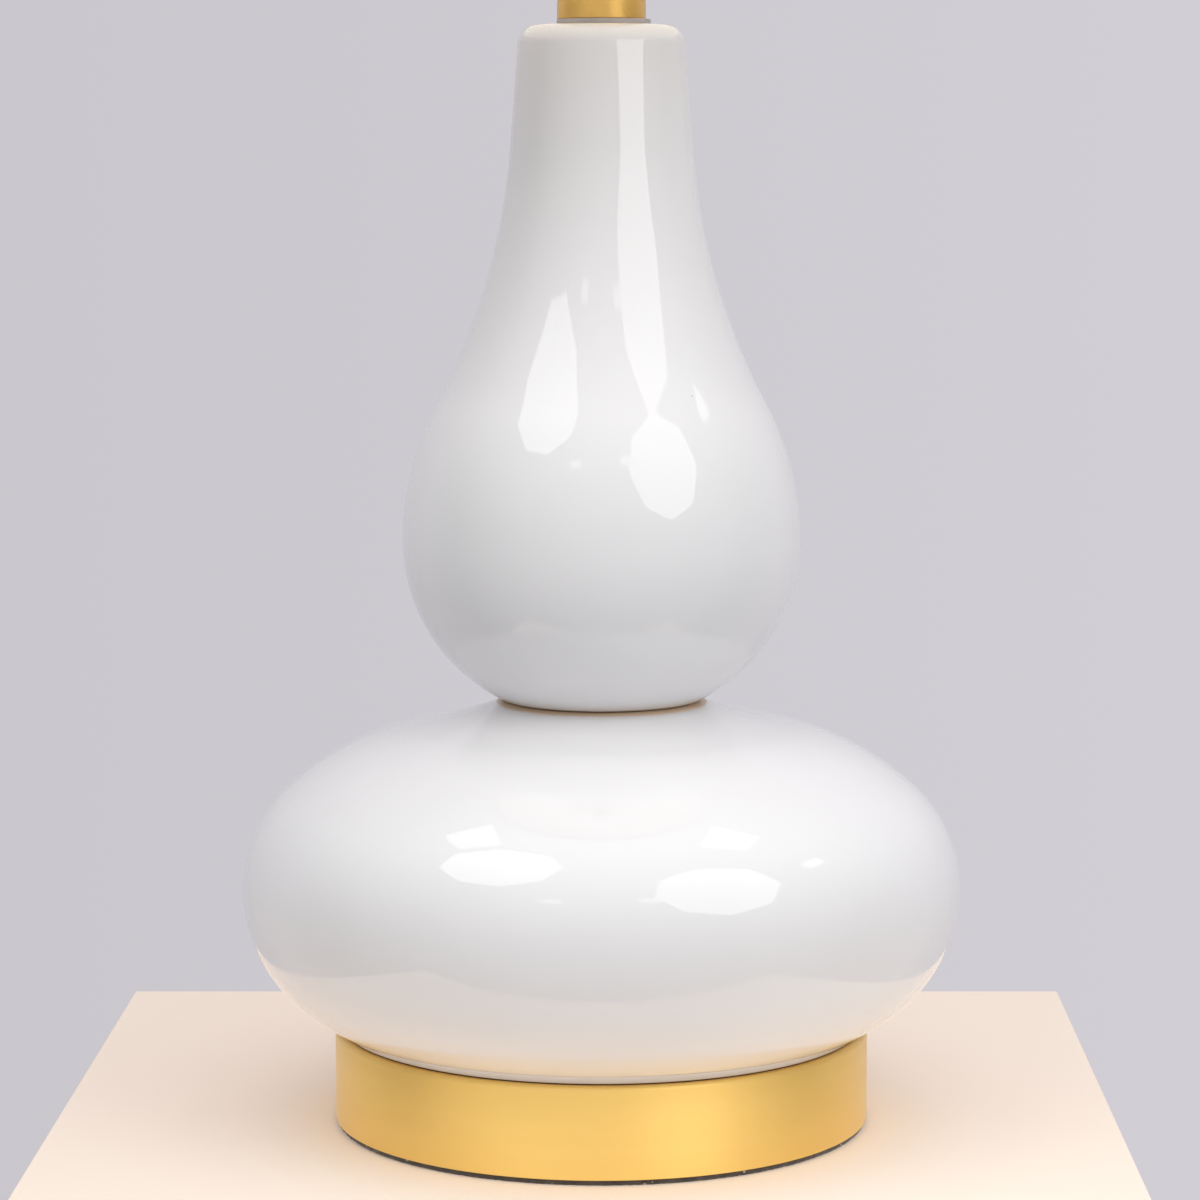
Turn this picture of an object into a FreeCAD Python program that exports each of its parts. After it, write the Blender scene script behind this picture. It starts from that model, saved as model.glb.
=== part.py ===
"""Double gourd table lamp: two stacked ceramic gourds on a round metal base, with the
socket, harp, bulb, shade and finial above them.

The frame: +Z is up and the lamp's axis, the origin is the middle of the felt's underside,
-Y is the front and the switch knob points there. All sizes are in millimetres and degrees.
"""
import FreeCAD, Part
import math
import os

from FreeCAD import Vector

# Overall build
RUNNING_CLEARANCE = 0.06
LOOSE_CLEARANCE = 0.3
THREAD_CLEARANCE = 0.08
SAME_PLACE = 1e-6

# Felt pad and base pan
FELT_THICKNESS = 1.9
FELT_INSET = 1.0
BASE_OVERHANG = 2.5
BASE_HEIGHT = 31.9
BASE_WALL = 1.2
BASE_EDGE_RADIUS = 1.5
PAN_INNER_EDGE_RADIUS = 0.3
WEIGHT_THICKNESS = 14.0
WEIGHT_INSET = 9.0
WEIGHT_CHAMFER = 1.5
GASKET_THICKNESS = 0.5
GASKET_MARGIN = 0.8

# Cord outlet at the back of the base
OUTLET_HEIGHT = 8.6
OUTLET_BORE_RADIUS = 3.4
OUTLET_SLEEVE_WALL = 1.3
OUTLET_FLANGE_RADIUS = 7.0
OUTLET_FLANGE_THICKNESS = 2.0

# Threaded rod and the hardware under the weight
ROD_RADIUS = 5.1
ROD_BORE_RADIUS = 3.2
ROD_TAIL = 2.0
NUT_FLATS = 14.3
NUT_HEIGHT = 4.8
FLAT_WASHER_RADIUS = 19.0
FLAT_WASHER_THICKNESS = 1.6
LOCK_WASHER_RADIUS = 9.5
LOCK_WASHER_THICKNESS = 1.0

# Ceramic bodies
CERAMIC_WALL = 5.5
CERAMIC_HOLE_RADIUS = 7.4
CERAMIC_FLOOR = 6.0

# Lower gourd, measured from its foot
FOOT_RADIUS = 92.2
FOOT_WIDTH = 8.5
FOOT_HEIGHT = 3.2
FOOT_FLARE = 1.2
FOOT_RECESS = 2.5
CREASE_RISE = 0.5
LOWER_RADIUS = 127.0
LOWER_EQUATOR_RISE = 50.4
LOWER_SIDE_RADIUS = 51.2
LOWER_SIDE_ANGLE = 49.0
LOWER_UNDER_RADIUS = 64.5
LOWER_SHOULDER_RADIUS = 45.3
LOWER_SHOULDER_ANGLE = 46.6
LOWER_TOP_RADIUS = 94.7
LOWER_TOP_ANGLE = 32.9
LOWER_COLLAR_RADIUS = 34.8
LOWER_COLLAR_CURVE = 155.0

# Upper gourd, measured from its foot
SEAT_GAP = 0.5
UPPER_RADIUS = 69.9
UPPER_EQUATOR_RISE = 56.2
UPPER_BOWL_RADIUS = 62.9
UPPER_FOOT_WIDTH = 8.0
UPPER_FOOT_RECESS = 1.5
UPPER_SHOULDER_RADIUS = 101.0
UPPER_SHOULDER_ANGLE = 28.2
UPPER_WAIST_RADIUS = 225.8
NECK_SLOPE_ANGLE = 4.3
NECK_LENGTH = 35.3
NECK_EDGE_RADIUS = 6.8
NECK_TOP_THICKNESS = 6.0

# Seat between the two gourds
SEAT_COLLAR_HEIGHT = 4.0

# Washer and brass neck above the ceramic
NECK_WASHER_RADIUS = 16.3
NECK_WASHER_THICKNESS = 1.9
NECK_WASHER_SHIFT = 0.8
BRASS_RADIUS = 15.4
NECK_RING_HEIGHT = 6.3
NECK_TUBE_HEIGHT = 30.0
NECK_TUBE_WALL = 1.2
NECK_CAP_HEIGHT = 9.0
NECK_CAP_TOP_RADIUS = 10.5
NECK_CAP_DOME = 1.3
BRASS_SPIGOT_HEIGHT = 2.5
BRASS_EDGE = 0.4

# Harp saddle, sleeves and harp
SADDLE_THICKNESS = 1.6
SADDLE_HUB_RADIUS = 10.5
SADDLE_ARM_WIDTH = 12.0
SADDLE_HALF_SPAN = 27.0
SADDLE_BEND_RADIUS = 6.0
SADDLE_SHOULDER_RISE = 14.0
TAB_WIDTH = 5.0
TAB_LENGTH = 11.5
SLEEVE_WALL = 1.0
SLEEVE_LENGTH = 13.0
SLEEVE_TRAVEL = 14.0
HARP_WIRE_RADIUS = 2.0
HARP_HALF_WIDTH = 57.0
HARP_BEND_RADIUS = 45.0
HARP_TOP_RADIUS = 45.0
HARP_HEIGHT = 178.0
HARP_STRAIGHT_MARGIN = 3.0
HUB_RADIUS = 6.5
HUB_HEIGHT = 5.0
STUD_RADIUS = 3.175
STUD_LENGTH = 13.0

# Socket
CAP_HUB_RADIUS = 8.5
CAP_HUB_HEIGHT = 8.0
CAP_DOME_HEIGHT = 9.0
CAP_DOME_BULGE = 1.6
CAP_COLLAR_HEIGHT = 7.0
CAP_WALL = 0.8
SET_SCREW_RADIUS = 1.6
SHELL_RADIUS = 16.2
SHELL_WALL = 0.5
SHELL_HEIGHT = 43.0
SHELL_BEAD_RADIUS = 0.8
LINER_WALL = 0.7
SOCKET_BODY_HEIGHT = 19.0
SOCKET_SKIRT_WALL = 3.0
SCREW_SHELL_HEIGHT = 20.5
SCREW_SHELL_WALL = 0.4
CONTACT_RADIUS = 4.0
CONTACT_THICKNESS = 1.2
TERMINAL_RADIUS = 2.8
TERMINAL_HEAD = 1.4
TERMINAL_SHANK_RADIUS = 1.5
TERMINAL_SHANK_LENGTH = 5.0
TERMINAL_RISE = 5.0

# Switch
SWITCH_RISE = 10.0
SWITCH_SHAFT_RADIUS = 1.6
SWITCH_SHAFT_DEPTH = 8.0
SWITCH_HOLE_RADIUS = 3.6
KNOB_STANDOFF = 4.5
KNOB_RADIUS = 5.6
KNOB_NECK_RADIUS = 3.9
KNOB_LENGTH = 15.0
KNOB_GRIP = 11.0
KNOB_RIB_COUNT = 10
KNOB_RIB_RADIUS = 0.7
KNOB_EDGE = 0.8

# Bulb
BULB_BASE_RADIUS = 13.15
BULB_BASE_HEIGHT = 20.5
BULB_BASE_WALL = 0.5
BULB_INSULATOR_HEIGHT = 2.6
BULB_INSULATOR_TOP_RADIUS = 9.6
BULB_INSULATOR_RADIUS = 5.4
BULB_CONTACT_RADIUS = 4.4
BULB_CONTACT_TIP_RADIUS = 3.1
BULB_CONTACT_HEIGHT = 1.5
BULB_RADIUS = 30.0
BULB_NECK_RADIUS = 12.4
BULB_NECK_HEIGHT = 9.0
BULB_FLARE_RADIUS = 30.0
BULB_GLASS_WALL = 0.9

# Shade
SHADE_BOTTOM_RADIUS = 124.0
SHADE_TOP_RADIUS = 60.0
SHADE_HEIGHT = 214.0
SHADE_WALL = 1.0
SHADE_DROP = 12.0
TRIM_HEIGHT = 9.0
TRIM_THICKNESS = 0.4
TRIM_GAP = 0.25
RING_WIRE_RADIUS = 1.6
RING_GAP = 0.15
SPIDER_ARM_COUNT = 3
SPIDER_FIRST_ANGLE = -90.0
SPIDER_WASHER_RADIUS = 12.5
SPIDER_WASHER_THICKNESS = 1.2
SPIDER_ARM_INNER_RADIUS = 9.0
SPIDER_ARM_SINK = 0.6

# Finial
FINIAL_SEAT_RADIUS = 7.0
FINIAL_SEAT_THICKNESS = 1.5
FINIAL_BASE_RADIUS = 6.0
FINIAL_BASE_HEIGHT = 4.0
FINIAL_WAIST_RADIUS = 4.4
FINIAL_WAIST_HEIGHT = 7.0
FINIAL_BALL_RADIUS = 8.5
FINIAL_TIP_RADIUS = 2.2
FINIAL_TIP_HEIGHT = 3.0
FINIAL_BORE_DEPTH = 10.5

# Heights along the lamp's axis, and the radii that follow from other pieces
BASE_RADIUS = FOOT_RADIUS + BASE_OVERHANG
BASE_TOP = FELT_THICKNESS + BASE_HEIGHT
PAN_CEILING = BASE_TOP - BASE_WALL
WEIGHT_BOTTOM = PAN_CEILING - WEIGHT_THICKNESS
FLAT_WASHER_BOTTOM = WEIGHT_BOTTOM - FLAT_WASHER_THICKNESS
LOCK_WASHER_BOTTOM = FLAT_WASHER_BOTTOM - LOCK_WASHER_THICKNESS
NUT_BOTTOM = LOCK_WASHER_BOTTOM - NUT_HEIGHT
ROD_BOTTOM = NUT_BOTTOM - ROD_TAIL
LOWER_FOOT_Z = BASE_TOP + GASKET_THICKNESS
ROD_HOLE_RADIUS = ROD_RADIUS + LOOSE_CLEARANCE
SEAT_COLLAR_RADIUS = CERAMIC_HOLE_RADIUS - LOOSE_CLEARANCE
OUTLET_Z = FELT_THICKNESS + OUTLET_HEIGHT


def polar(radius, angle, z=0.0):
    """A point at a distance and an angle in degrees from the lamp's axis."""
    turn = math.radians(angle)
    return Vector(radius * math.cos(turn), radius * math.sin(turn), z)


class Outline:
    """A closed outline in the XZ plane, drawn point by point, that is turned about the axis."""

    def __init__(self, x, z):
        self.first = Vector(x, 0, z)
        self.here = self.first
        self.edges = []

    def line(self, x, z):
        """A straight stretch to a point."""
        end = Vector(x, 0, z)
        if end.distanceToPoint(self.here) > SAME_PLACE:
            self.edges.append(Part.LineSegment(self.here, end).toShape())
        self.here = end
        return self

    def arc(self, middle, end):
        """A round stretch through a middle point, both points given as (x, z)."""
        last = Vector(end[0], 0, end[1])
        through = Vector(middle[0], 0, middle[1])
        self.edges.append(Part.Arc(self.here, through, last).toShape())
        self.here = last
        return self

    def bow(self, x, z, rise):
        """A round stretch to a point that rises to the right of the straight way there."""
        way = Vector(x, 0, z) - self.here
        out = Vector(way.z, 0, -way.x).normalize() * rise
        middle = self.here + way * 0.5 + out
        return self.arc((middle.x, middle.z), (x, z))

    def bend(self, stretch, heading_from, heading_to):
        """A round stretch between two headings of a RoundStretch."""
        middle = stretch.point((heading_from + heading_to) / 2)
        return self.arc(middle, stretch.point(heading_to))

    def turned(self):
        """The closed outline turned a full turn about the Z axis."""
        self.line(self.first.x, self.first.z)
        face = Part.Face(Part.Wire(self.edges))
        return face.revolve(Vector(0, 0, 0), Vector(0, 0, 1), 360)


class RoundStretch:
    """A round stretch of a gourd's side.

    A heading is the angle in degrees between the outline going up and straight up,
    positive where it goes outwards. side is 1 where the wall bulges and -1 where it is hollow.
    """

    def __init__(self, start, heading, radius, side):
        turn = math.radians(heading)
        self.radius = radius
        self.side = side
        self.x = start[0] - side * radius * math.cos(turn)
        self.z = start[1] + side * radius * math.sin(turn)

    def point(self, heading):
        """The point, as (x, z), where the outline has this heading."""
        turn = math.radians(heading)
        out = self.side * self.radius
        return self.x + out * math.cos(turn), self.z - out * math.sin(turn)

    def heading_at_height(self, z):
        """The heading where the stretch reaches a height."""
        return math.degrees(math.asin(self.side * (self.z - z) / self.radius))

    def inward_heading_at(self, x):
        """The heading, inwards and up, where the stretch reaches a distance from the axis."""
        return -math.degrees(math.acos(self.side * (x - self.x) / self.radius))


def lower_side(inset):
    """The five round stretches of the lower gourd's side, from the bottom up, moved inwards."""
    equator = (LOWER_RADIUS - inset, LOWER_FOOT_Z + LOWER_EQUATOR_RISE)
    side = RoundStretch(equator, 0, LOWER_SIDE_RADIUS - inset, 1)
    below = side.point(LOWER_SIDE_ANGLE)
    under = RoundStretch(below, LOWER_SIDE_ANGLE, LOWER_UNDER_RADIUS - inset, 1)
    shoulder = RoundStretch(equator, 0, LOWER_SHOULDER_RADIUS - inset, 1)
    above = shoulder.point(-LOWER_SHOULDER_ANGLE)
    top = RoundStretch(above, -LOWER_SHOULDER_ANGLE, LOWER_TOP_RADIUS - inset, 1)
    flattest = -LOWER_SHOULDER_ANGLE - LOWER_TOP_ANGLE
    collar = RoundStretch(top.point(flattest), flattest, LOWER_COLLAR_CURVE + inset, -1)
    return under, side, shoulder, top, collar


def lower_top_height():
    """The height of the flat seat on top of the lower gourd."""
    collar = lower_side(0.0)[-1]
    return collar.point(collar.inward_heading_at(LOWER_COLLAR_RADIUS))[1]


LOWER_TOP_Z = lower_top_height()
UPPER_FOOT_Z = LOWER_TOP_Z + SEAT_GAP


def upper_side(inset):
    """The three round stretches of the upper gourd's side, from the bottom up, moved inwards."""
    equator = (UPPER_RADIUS - inset, UPPER_FOOT_Z + UPPER_EQUATOR_RISE)
    bowl = RoundStretch(equator, 0, UPPER_BOWL_RADIUS - inset, 1)
    shoulder = RoundStretch(equator, 0, UPPER_SHOULDER_RADIUS - inset, 1)
    above = shoulder.point(-UPPER_SHOULDER_ANGLE)
    waist = RoundStretch(above, -UPPER_SHOULDER_ANGLE, UPPER_WAIST_RADIUS + inset, -1)
    return bowl, shoulder, waist


def neck_end():
    """The point, as (x, z), where the straight neck meets its rounded top edge."""
    waist = upper_side(0.0)[-1]
    x, z = waist.point(-NECK_SLOPE_ANGLE)
    return x - NECK_LENGTH * math.tan(math.radians(NECK_SLOPE_ANGLE)), z + NECK_LENGTH


NECK_EDGE = RoundStretch(neck_end(), -NECK_SLOPE_ANGLE, NECK_EDGE_RADIUS, 1)
CERAMIC_TOP_Z = NECK_EDGE.point(-90)[1]
NECK_RING_Z = CERAMIC_TOP_Z + NECK_WASHER_THICKNESS
NECK_TUBE_Z = NECK_RING_Z + NECK_RING_HEIGHT
NECK_CAP_Z = NECK_TUBE_Z + NECK_TUBE_HEIGHT
SADDLE_Z = NECK_CAP_Z + NECK_CAP_HEIGHT
SOCKET_Z = SADDLE_Z + SADDLE_THICKNESS
ROD_TOP = SOCKET_Z + CAP_HUB_HEIGHT
CAP_RADIUS = SHELL_RADIUS + LOOSE_CLEARANCE + CAP_WALL
CAP_COLLAR_Z = SOCKET_Z + CAP_HUB_HEIGHT + CAP_DOME_HEIGHT
SHELL_Z = CAP_COLLAR_Z + LOOSE_CLEARANCE
SHELL_TOP = SHELL_Z + SHELL_HEIGHT
LINER_RADIUS = SHELL_RADIUS - SHELL_WALL
SOCKET_BODY_RADIUS = LINER_RADIUS - LINER_WALL - LOOSE_CLEARANCE
SOCKET_BODY_TOP = SHELL_Z + SOCKET_BODY_HEIGHT
SWITCH_Z = SHELL_Z + SWITCH_RISE
SCREW_SHELL_INNER = BULB_BASE_RADIUS + LOOSE_CLEARANCE
BULB_Z = SOCKET_BODY_TOP + CONTACT_THICKNESS + LOOSE_CLEARANCE
BULB_BASE_Z = BULB_Z + BULB_CONTACT_HEIGHT + BULB_INSULATOR_HEIGHT
GLASS_Z = BULB_BASE_Z + BULB_BASE_HEIGHT
SADDLE_SHOULDER_Z = SOCKET_Z + SADDLE_SHOULDER_RISE
BLADE_BOTTOM = SADDLE_SHOULDER_Z + LOOSE_CLEARANCE
WIRE_BOTTOM = SADDLE_SHOULDER_Z + TAB_LENGTH + LOOSE_CLEARANCE
SLEEVE_INNER = math.hypot(SADDLE_THICKNESS, TAB_WIDTH / 2) + LOOSE_CLEARANCE / 2
SLEEVE_OUTER = SLEEVE_INNER + SLEEVE_WALL
HARP_TOP_Z = SOCKET_Z + HARP_HEIGHT
HUB_TOP = HARP_TOP_Z + HUB_HEIGHT / 2
SPIDER_TOP = HUB_TOP + SPIDER_WASHER_THICKNESS
SHADE_TOP = SPIDER_TOP + SHADE_DROP
SHADE_BOTTOM = SHADE_TOP - SHADE_HEIGHT
FINIAL_Z = SPIDER_TOP + FINIAL_SEAT_THICKNESS


def tube(outer, inner, z, height):
    """An upright tube."""
    solid = Part.makeCylinder(outer, height, Vector(0, 0, z))
    return solid.cut(Part.makeCylinder(inner, height, Vector(0, 0, z)))


def felt_pad():
    """The felt disc glued into the rim of the base pan."""
    return Part.makeCylinder(BASE_RADIUS - FELT_INSET, FELT_THICKNESS)


def base_pan():
    """The spun metal pan, open below, with a small round at its top edge and a rod hole."""
    outer = BASE_RADIUS
    edge = BASE_EDGE_RADIUS
    corner = RoundStretch((outer, BASE_TOP - edge), 0, edge, 1)
    inner_edge = PAN_INNER_EDGE_RADIUS
    inner_start = (outer - BASE_WALL, PAN_CEILING - inner_edge)
    inner_corner = RoundStretch(inner_start, 0, inner_edge, 1)
    shape = Outline(outer - BASE_WALL, FELT_THICKNESS)
    shape.line(outer, FELT_THICKNESS)
    shape.line(outer, BASE_TOP - edge)
    shape.bend(corner, 0, -90)
    shape.line(ROD_HOLE_RADIUS, BASE_TOP)
    shape.line(ROD_HOLE_RADIUS, PAN_CEILING)
    shape.line(inner_corner.point(-90)[0], PAN_CEILING)
    shape.bend(inner_corner, -90, 0)
    return shape.turned().cut(outlet_cylinder(OUTLET_BORE_RADIUS + OUTLET_SLEEVE_WALL))


def outlet_cylinder(radius, start=BASE_RADIUS / 2, length=BASE_RADIUS):
    """A cylinder along the cord outlet's axis, which points to the back."""
    return Part.makeCylinder(radius, length, Vector(0, start, OUTLET_Z), Vector(0, 1, 0))


def cord_bushing():
    """The plastic outlet bushing: a sleeve through the pan's wall with a flange on each side."""
    wall_in = BASE_RADIUS - BASE_WALL
    thickness = OUTLET_FLANGE_THICKNESS
    sleeve_radius = OUTLET_BORE_RADIUS + OUTLET_SLEEVE_WALL
    sleeve = outlet_cylinder(sleeve_radius, wall_in - thickness, BASE_WALL + 2 * thickness)
    outer_flange = outlet_cylinder(OUTLET_FLANGE_RADIUS, BASE_RADIUS - thickness, 2 * thickness)
    outer_flange = outer_flange.cut(Part.makeCylinder(BASE_RADIUS, BASE_TOP))
    inner_flange = outlet_cylinder(OUTLET_FLANGE_RADIUS, wall_in - thickness, thickness)
    inner_flange = inner_flange.common(Part.makeCylinder(wall_in, BASE_TOP))
    bushing = sleeve.fuse([outer_flange, inner_flange])
    bushing = bushing.cut(outlet_cylinder(OUTLET_BORE_RADIUS))
    return bushing.removeSplitter()


def base_weight():
    """The cast disc under the pan's top, with chamfered edges."""
    radius = BASE_RADIUS - BASE_WALL - WEIGHT_INSET
    shape = Outline(ROD_HOLE_RADIUS, WEIGHT_BOTTOM)
    shape.line(radius - WEIGHT_CHAMFER, WEIGHT_BOTTOM)
    shape.line(radius, WEIGHT_BOTTOM + WEIGHT_CHAMFER)
    shape.line(radius, PAN_CEILING - WEIGHT_CHAMFER)
    shape.line(radius - WEIGHT_CHAMFER, PAN_CEILING)
    shape.line(ROD_HOLE_RADIUS, PAN_CEILING)
    return shape.turned()


def flat_washer():
    """The wide washer under the weight."""
    return tube(FLAT_WASHER_RADIUS, ROD_HOLE_RADIUS, FLAT_WASHER_BOTTOM, FLAT_WASHER_THICKNESS)


def lock_washer():
    """The split washer between the flat washer and the nut, with its slit at the side."""
    ring = tube(LOCK_WASHER_RADIUS, ROD_HOLE_RADIUS, LOCK_WASHER_BOTTOM, LOCK_WASHER_THICKNESS)
    corner = Vector(0, -LOCK_WASHER_THICKNESS / 2, LOCK_WASHER_BOTTOM)
    slit = Part.makeBox(2 * LOCK_WASHER_RADIUS, LOCK_WASHER_THICKNESS, LOCK_WASHER_THICKNESS, corner)
    return ring.cut(slit)


def base_nut():
    """The six-sided nut on the rod's lower end."""
    corner_radius = NUT_FLATS / 2 / math.cos(math.radians(30))
    corners = [polar(corner_radius, 60 * side, NUT_BOTTOM) for side in range(6)]
    hexagon = Part.Face(Part.makePolygon(corners + corners[:1]))
    nut = hexagon.extrude(Vector(0, 0, NUT_HEIGHT))
    hole = Part.makeCylinder(ROD_RADIUS + THREAD_CLEARANCE, NUT_HEIGHT, Vector(0, 0, NUT_BOTTOM))
    return nut.cut(hole)


def threaded_rod():
    """The hollow rod that clamps the whole stack, from the nut to the socket's cap."""
    return tube(ROD_RADIUS, ROD_BORE_RADIUS, ROD_BOTTOM, ROD_TOP - ROD_BOTTOM)


def base_gasket():
    """The thin dark ring between the base and the lower gourd's foot."""
    inner = FOOT_RADIUS - FOOT_WIDTH + GASKET_MARGIN
    return tube(FOOT_RADIUS - GASKET_MARGIN, inner, BASE_TOP, GASKET_THICKNESS)


def lower_gourd():
    """The wide ceramic gourd: foot ring, round body, flat seat on top, hollow inside."""
    under, side, shoulder, top, collar = lower_side(0.0)
    flattest = -LOWER_SHOULDER_ANGLE - LOWER_TOP_ANGLE
    foot_top = LOWER_FOOT_Z + FOOT_HEIGHT
    under_start = under.heading_at_height(foot_top + CREASE_RISE)
    recess = LOWER_FOOT_Z + FOOT_RECESS
    shape = Outline(CERAMIC_HOLE_RADIUS, recess)
    shape.line(FOOT_RADIUS - FOOT_WIDTH, recess)
    shape.line(FOOT_RADIUS - FOOT_WIDTH, LOWER_FOOT_Z)
    shape.line(FOOT_RADIUS, LOWER_FOOT_Z)
    shape.line(FOOT_RADIUS + FOOT_FLARE, foot_top)
    shape.line(*under.point(under_start))
    shape.bend(under, under_start, LOWER_SIDE_ANGLE)
    shape.bend(side, LOWER_SIDE_ANGLE, 0)
    shape.bend(shoulder, 0, -LOWER_SHOULDER_ANGLE)
    shape.bend(top, -LOWER_SHOULDER_ANGLE, flattest)
    shape.bend(collar, flattest, collar.inward_heading_at(LOWER_COLLAR_RADIUS))
    shape.line(CERAMIC_HOLE_RADIUS, LOWER_TOP_Z)
    return shape.turned().cut(lower_cavity())


def lower_cavity():
    """The hollow inside the lower gourd."""
    under, side, shoulder, top, collar = lower_side(CERAMIC_WALL)
    flattest = -LOWER_SHOULDER_ANGLE - LOWER_TOP_ANGLE
    floor = LOWER_FOOT_Z + FOOT_RECESS + CERAMIC_FLOOR
    under_start = under.heading_at_height(floor)
    collar_end = collar.inward_heading_at(LOWER_COLLAR_RADIUS - CERAMIC_WALL)
    shape = Outline(0, floor)
    shape.line(*under.point(under_start))
    shape.bend(under, under_start, LOWER_SIDE_ANGLE)
    shape.bend(side, LOWER_SIDE_ANGLE, 0)
    shape.bend(shoulder, 0, -LOWER_SHOULDER_ANGLE)
    shape.bend(top, -LOWER_SHOULDER_ANGLE, flattest)
    shape.bend(collar, flattest, collar_end)
    shape.line(0, collar.point(collar_end)[1])
    return shape.turned()


def upper_foot_radius():
    """The radius where the upper gourd's bowl meets its foot plane."""
    bowl = upper_side(0.0)[0]
    return bowl.point(bowl.heading_at_height(UPPER_FOOT_Z))[0]


def upper_gourd():
    """The tall ceramic gourd: round bowl, long hollow waist, neck with a rounded top edge."""
    bowl, shoulder, waist = upper_side(0.0)
    bowl_start = bowl.heading_at_height(UPPER_FOOT_Z)
    recess = UPPER_FOOT_Z + UPPER_FOOT_RECESS
    inner_foot = upper_foot_radius() - UPPER_FOOT_WIDTH
    shape = Outline(CERAMIC_HOLE_RADIUS, recess)
    shape.line(inner_foot, recess)
    shape.line(inner_foot, UPPER_FOOT_Z)
    shape.line(upper_foot_radius(), UPPER_FOOT_Z)
    shape.bend(bowl, bowl_start, 0)
    shape.bend(shoulder, 0, -UPPER_SHOULDER_ANGLE)
    shape.bend(waist, -UPPER_SHOULDER_ANGLE, -NECK_SLOPE_ANGLE)
    shape.line(*neck_end())
    shape.bend(NECK_EDGE, -NECK_SLOPE_ANGLE, -90)
    shape.line(CERAMIC_HOLE_RADIUS, CERAMIC_TOP_Z)
    return shape.turned().cut(upper_cavity())


def upper_cavity():
    """The hollow inside the upper gourd."""
    bowl, shoulder, waist = upper_side(CERAMIC_WALL)
    floor = UPPER_FOOT_Z + UPPER_FOOT_RECESS + CERAMIC_FLOOR
    ceiling = CERAMIC_TOP_Z - NECK_TOP_THICKNESS
    bowl_start = bowl.heading_at_height(floor)
    neck_x, neck_z = waist.point(-NECK_SLOPE_ANGLE)
    ceiling_x = neck_x - (ceiling - neck_z) * math.tan(math.radians(NECK_SLOPE_ANGLE))
    shape = Outline(0, floor)
    shape.line(*bowl.point(bowl_start))
    shape.bend(bowl, bowl_start, 0)
    shape.bend(shoulder, 0, -UPPER_SHOULDER_ANGLE)
    shape.bend(waist, -UPPER_SHOULDER_ANGLE, -NECK_SLOPE_ANGLE)
    shape.line(ceiling_x, ceiling)
    shape.line(0, ceiling)
    return shape.turned()


def gourd_seat():
    """The rubber seat between the gourds, with a collar in each hole that centres them."""
    disc_radius = upper_foot_radius() - UPPER_FOOT_WIDTH - LOOSE_CLEARANCE
    disc_height = SEAT_GAP + UPPER_FOOT_RECESS
    disc = tube(disc_radius, ROD_HOLE_RADIUS, LOWER_TOP_Z, disc_height)
    collar_z = LOWER_TOP_Z - SEAT_COLLAR_HEIGHT
    collar_height = disc_height + 2 * SEAT_COLLAR_HEIGHT
    collar = tube(SEAT_COLLAR_RADIUS, ROD_HOLE_RADIUS, collar_z, collar_height)
    return disc.fuse(collar).removeSplitter()


def neck_washer():
    """The clear plastic washer on top of the ceramic, which sits a little off centre."""
    shift = Vector(NECK_WASHER_SHIFT, 0, CERAMIC_TOP_Z)
    washer = Part.makeCylinder(NECK_WASHER_RADIUS, NECK_WASHER_THICKNESS, shift)
    hole_radius = ROD_HOLE_RADIUS + NECK_WASHER_SHIFT
    return washer.cut(Part.makeCylinder(hole_radius, NECK_WASHER_THICKNESS, shift))


def spigot(z):
    """A low ring that centres the neck tube on the piece below or above it."""
    radius = BRASS_RADIUS - NECK_TUBE_WALL - LOOSE_CLEARANCE
    return tube(radius, radius - NECK_TUBE_WALL, z, BRASS_SPIGOT_HEIGHT)


def neck_ring():
    """The low turned brass ring that the photograph's top edge cuts."""
    shape = Outline(ROD_HOLE_RADIUS, NECK_RING_Z)
    shape.line(BRASS_RADIUS - BRASS_EDGE, NECK_RING_Z)
    shape.line(BRASS_RADIUS, NECK_RING_Z + BRASS_EDGE)
    shape.line(BRASS_RADIUS, NECK_TUBE_Z - BRASS_EDGE)
    shape.line(BRASS_RADIUS - BRASS_EDGE, NECK_TUBE_Z)
    shape.line(ROD_HOLE_RADIUS, NECK_TUBE_Z)
    return shape.turned().fuse(spigot(NECK_TUBE_Z)).removeSplitter()


def neck_tube():
    """The brass tube above the ring, with a small chamfer at each end."""
    inner = BRASS_RADIUS - NECK_TUBE_WALL
    shape = Outline(inner, NECK_TUBE_Z)
    shape.line(BRASS_RADIUS - BRASS_EDGE, NECK_TUBE_Z)
    shape.line(BRASS_RADIUS, NECK_TUBE_Z + BRASS_EDGE)
    shape.line(BRASS_RADIUS, NECK_CAP_Z - BRASS_EDGE)
    shape.line(BRASS_RADIUS - BRASS_EDGE, NECK_CAP_Z)
    shape.line(inner, NECK_CAP_Z)
    return shape.turned()


def neck_cap():
    """The turned brass cap that closes the tube and carries the harp's saddle."""
    rim = NECK_CAP_HEIGHT / 4
    shape = Outline(ROD_HOLE_RADIUS, NECK_CAP_Z)
    shape.line(BRASS_RADIUS - BRASS_EDGE, NECK_CAP_Z)
    shape.line(BRASS_RADIUS, NECK_CAP_Z + BRASS_EDGE)
    shape.line(BRASS_RADIUS, NECK_CAP_Z + rim)
    shape.bow(NECK_CAP_TOP_RADIUS, SADDLE_Z, NECK_CAP_DOME)
    shape.line(ROD_HOLE_RADIUS, SADDLE_Z)
    below = spigot(NECK_CAP_Z - BRASS_SPIGOT_HEIGHT)
    return shape.turned().fuse(below).removeSplitter()


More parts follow.
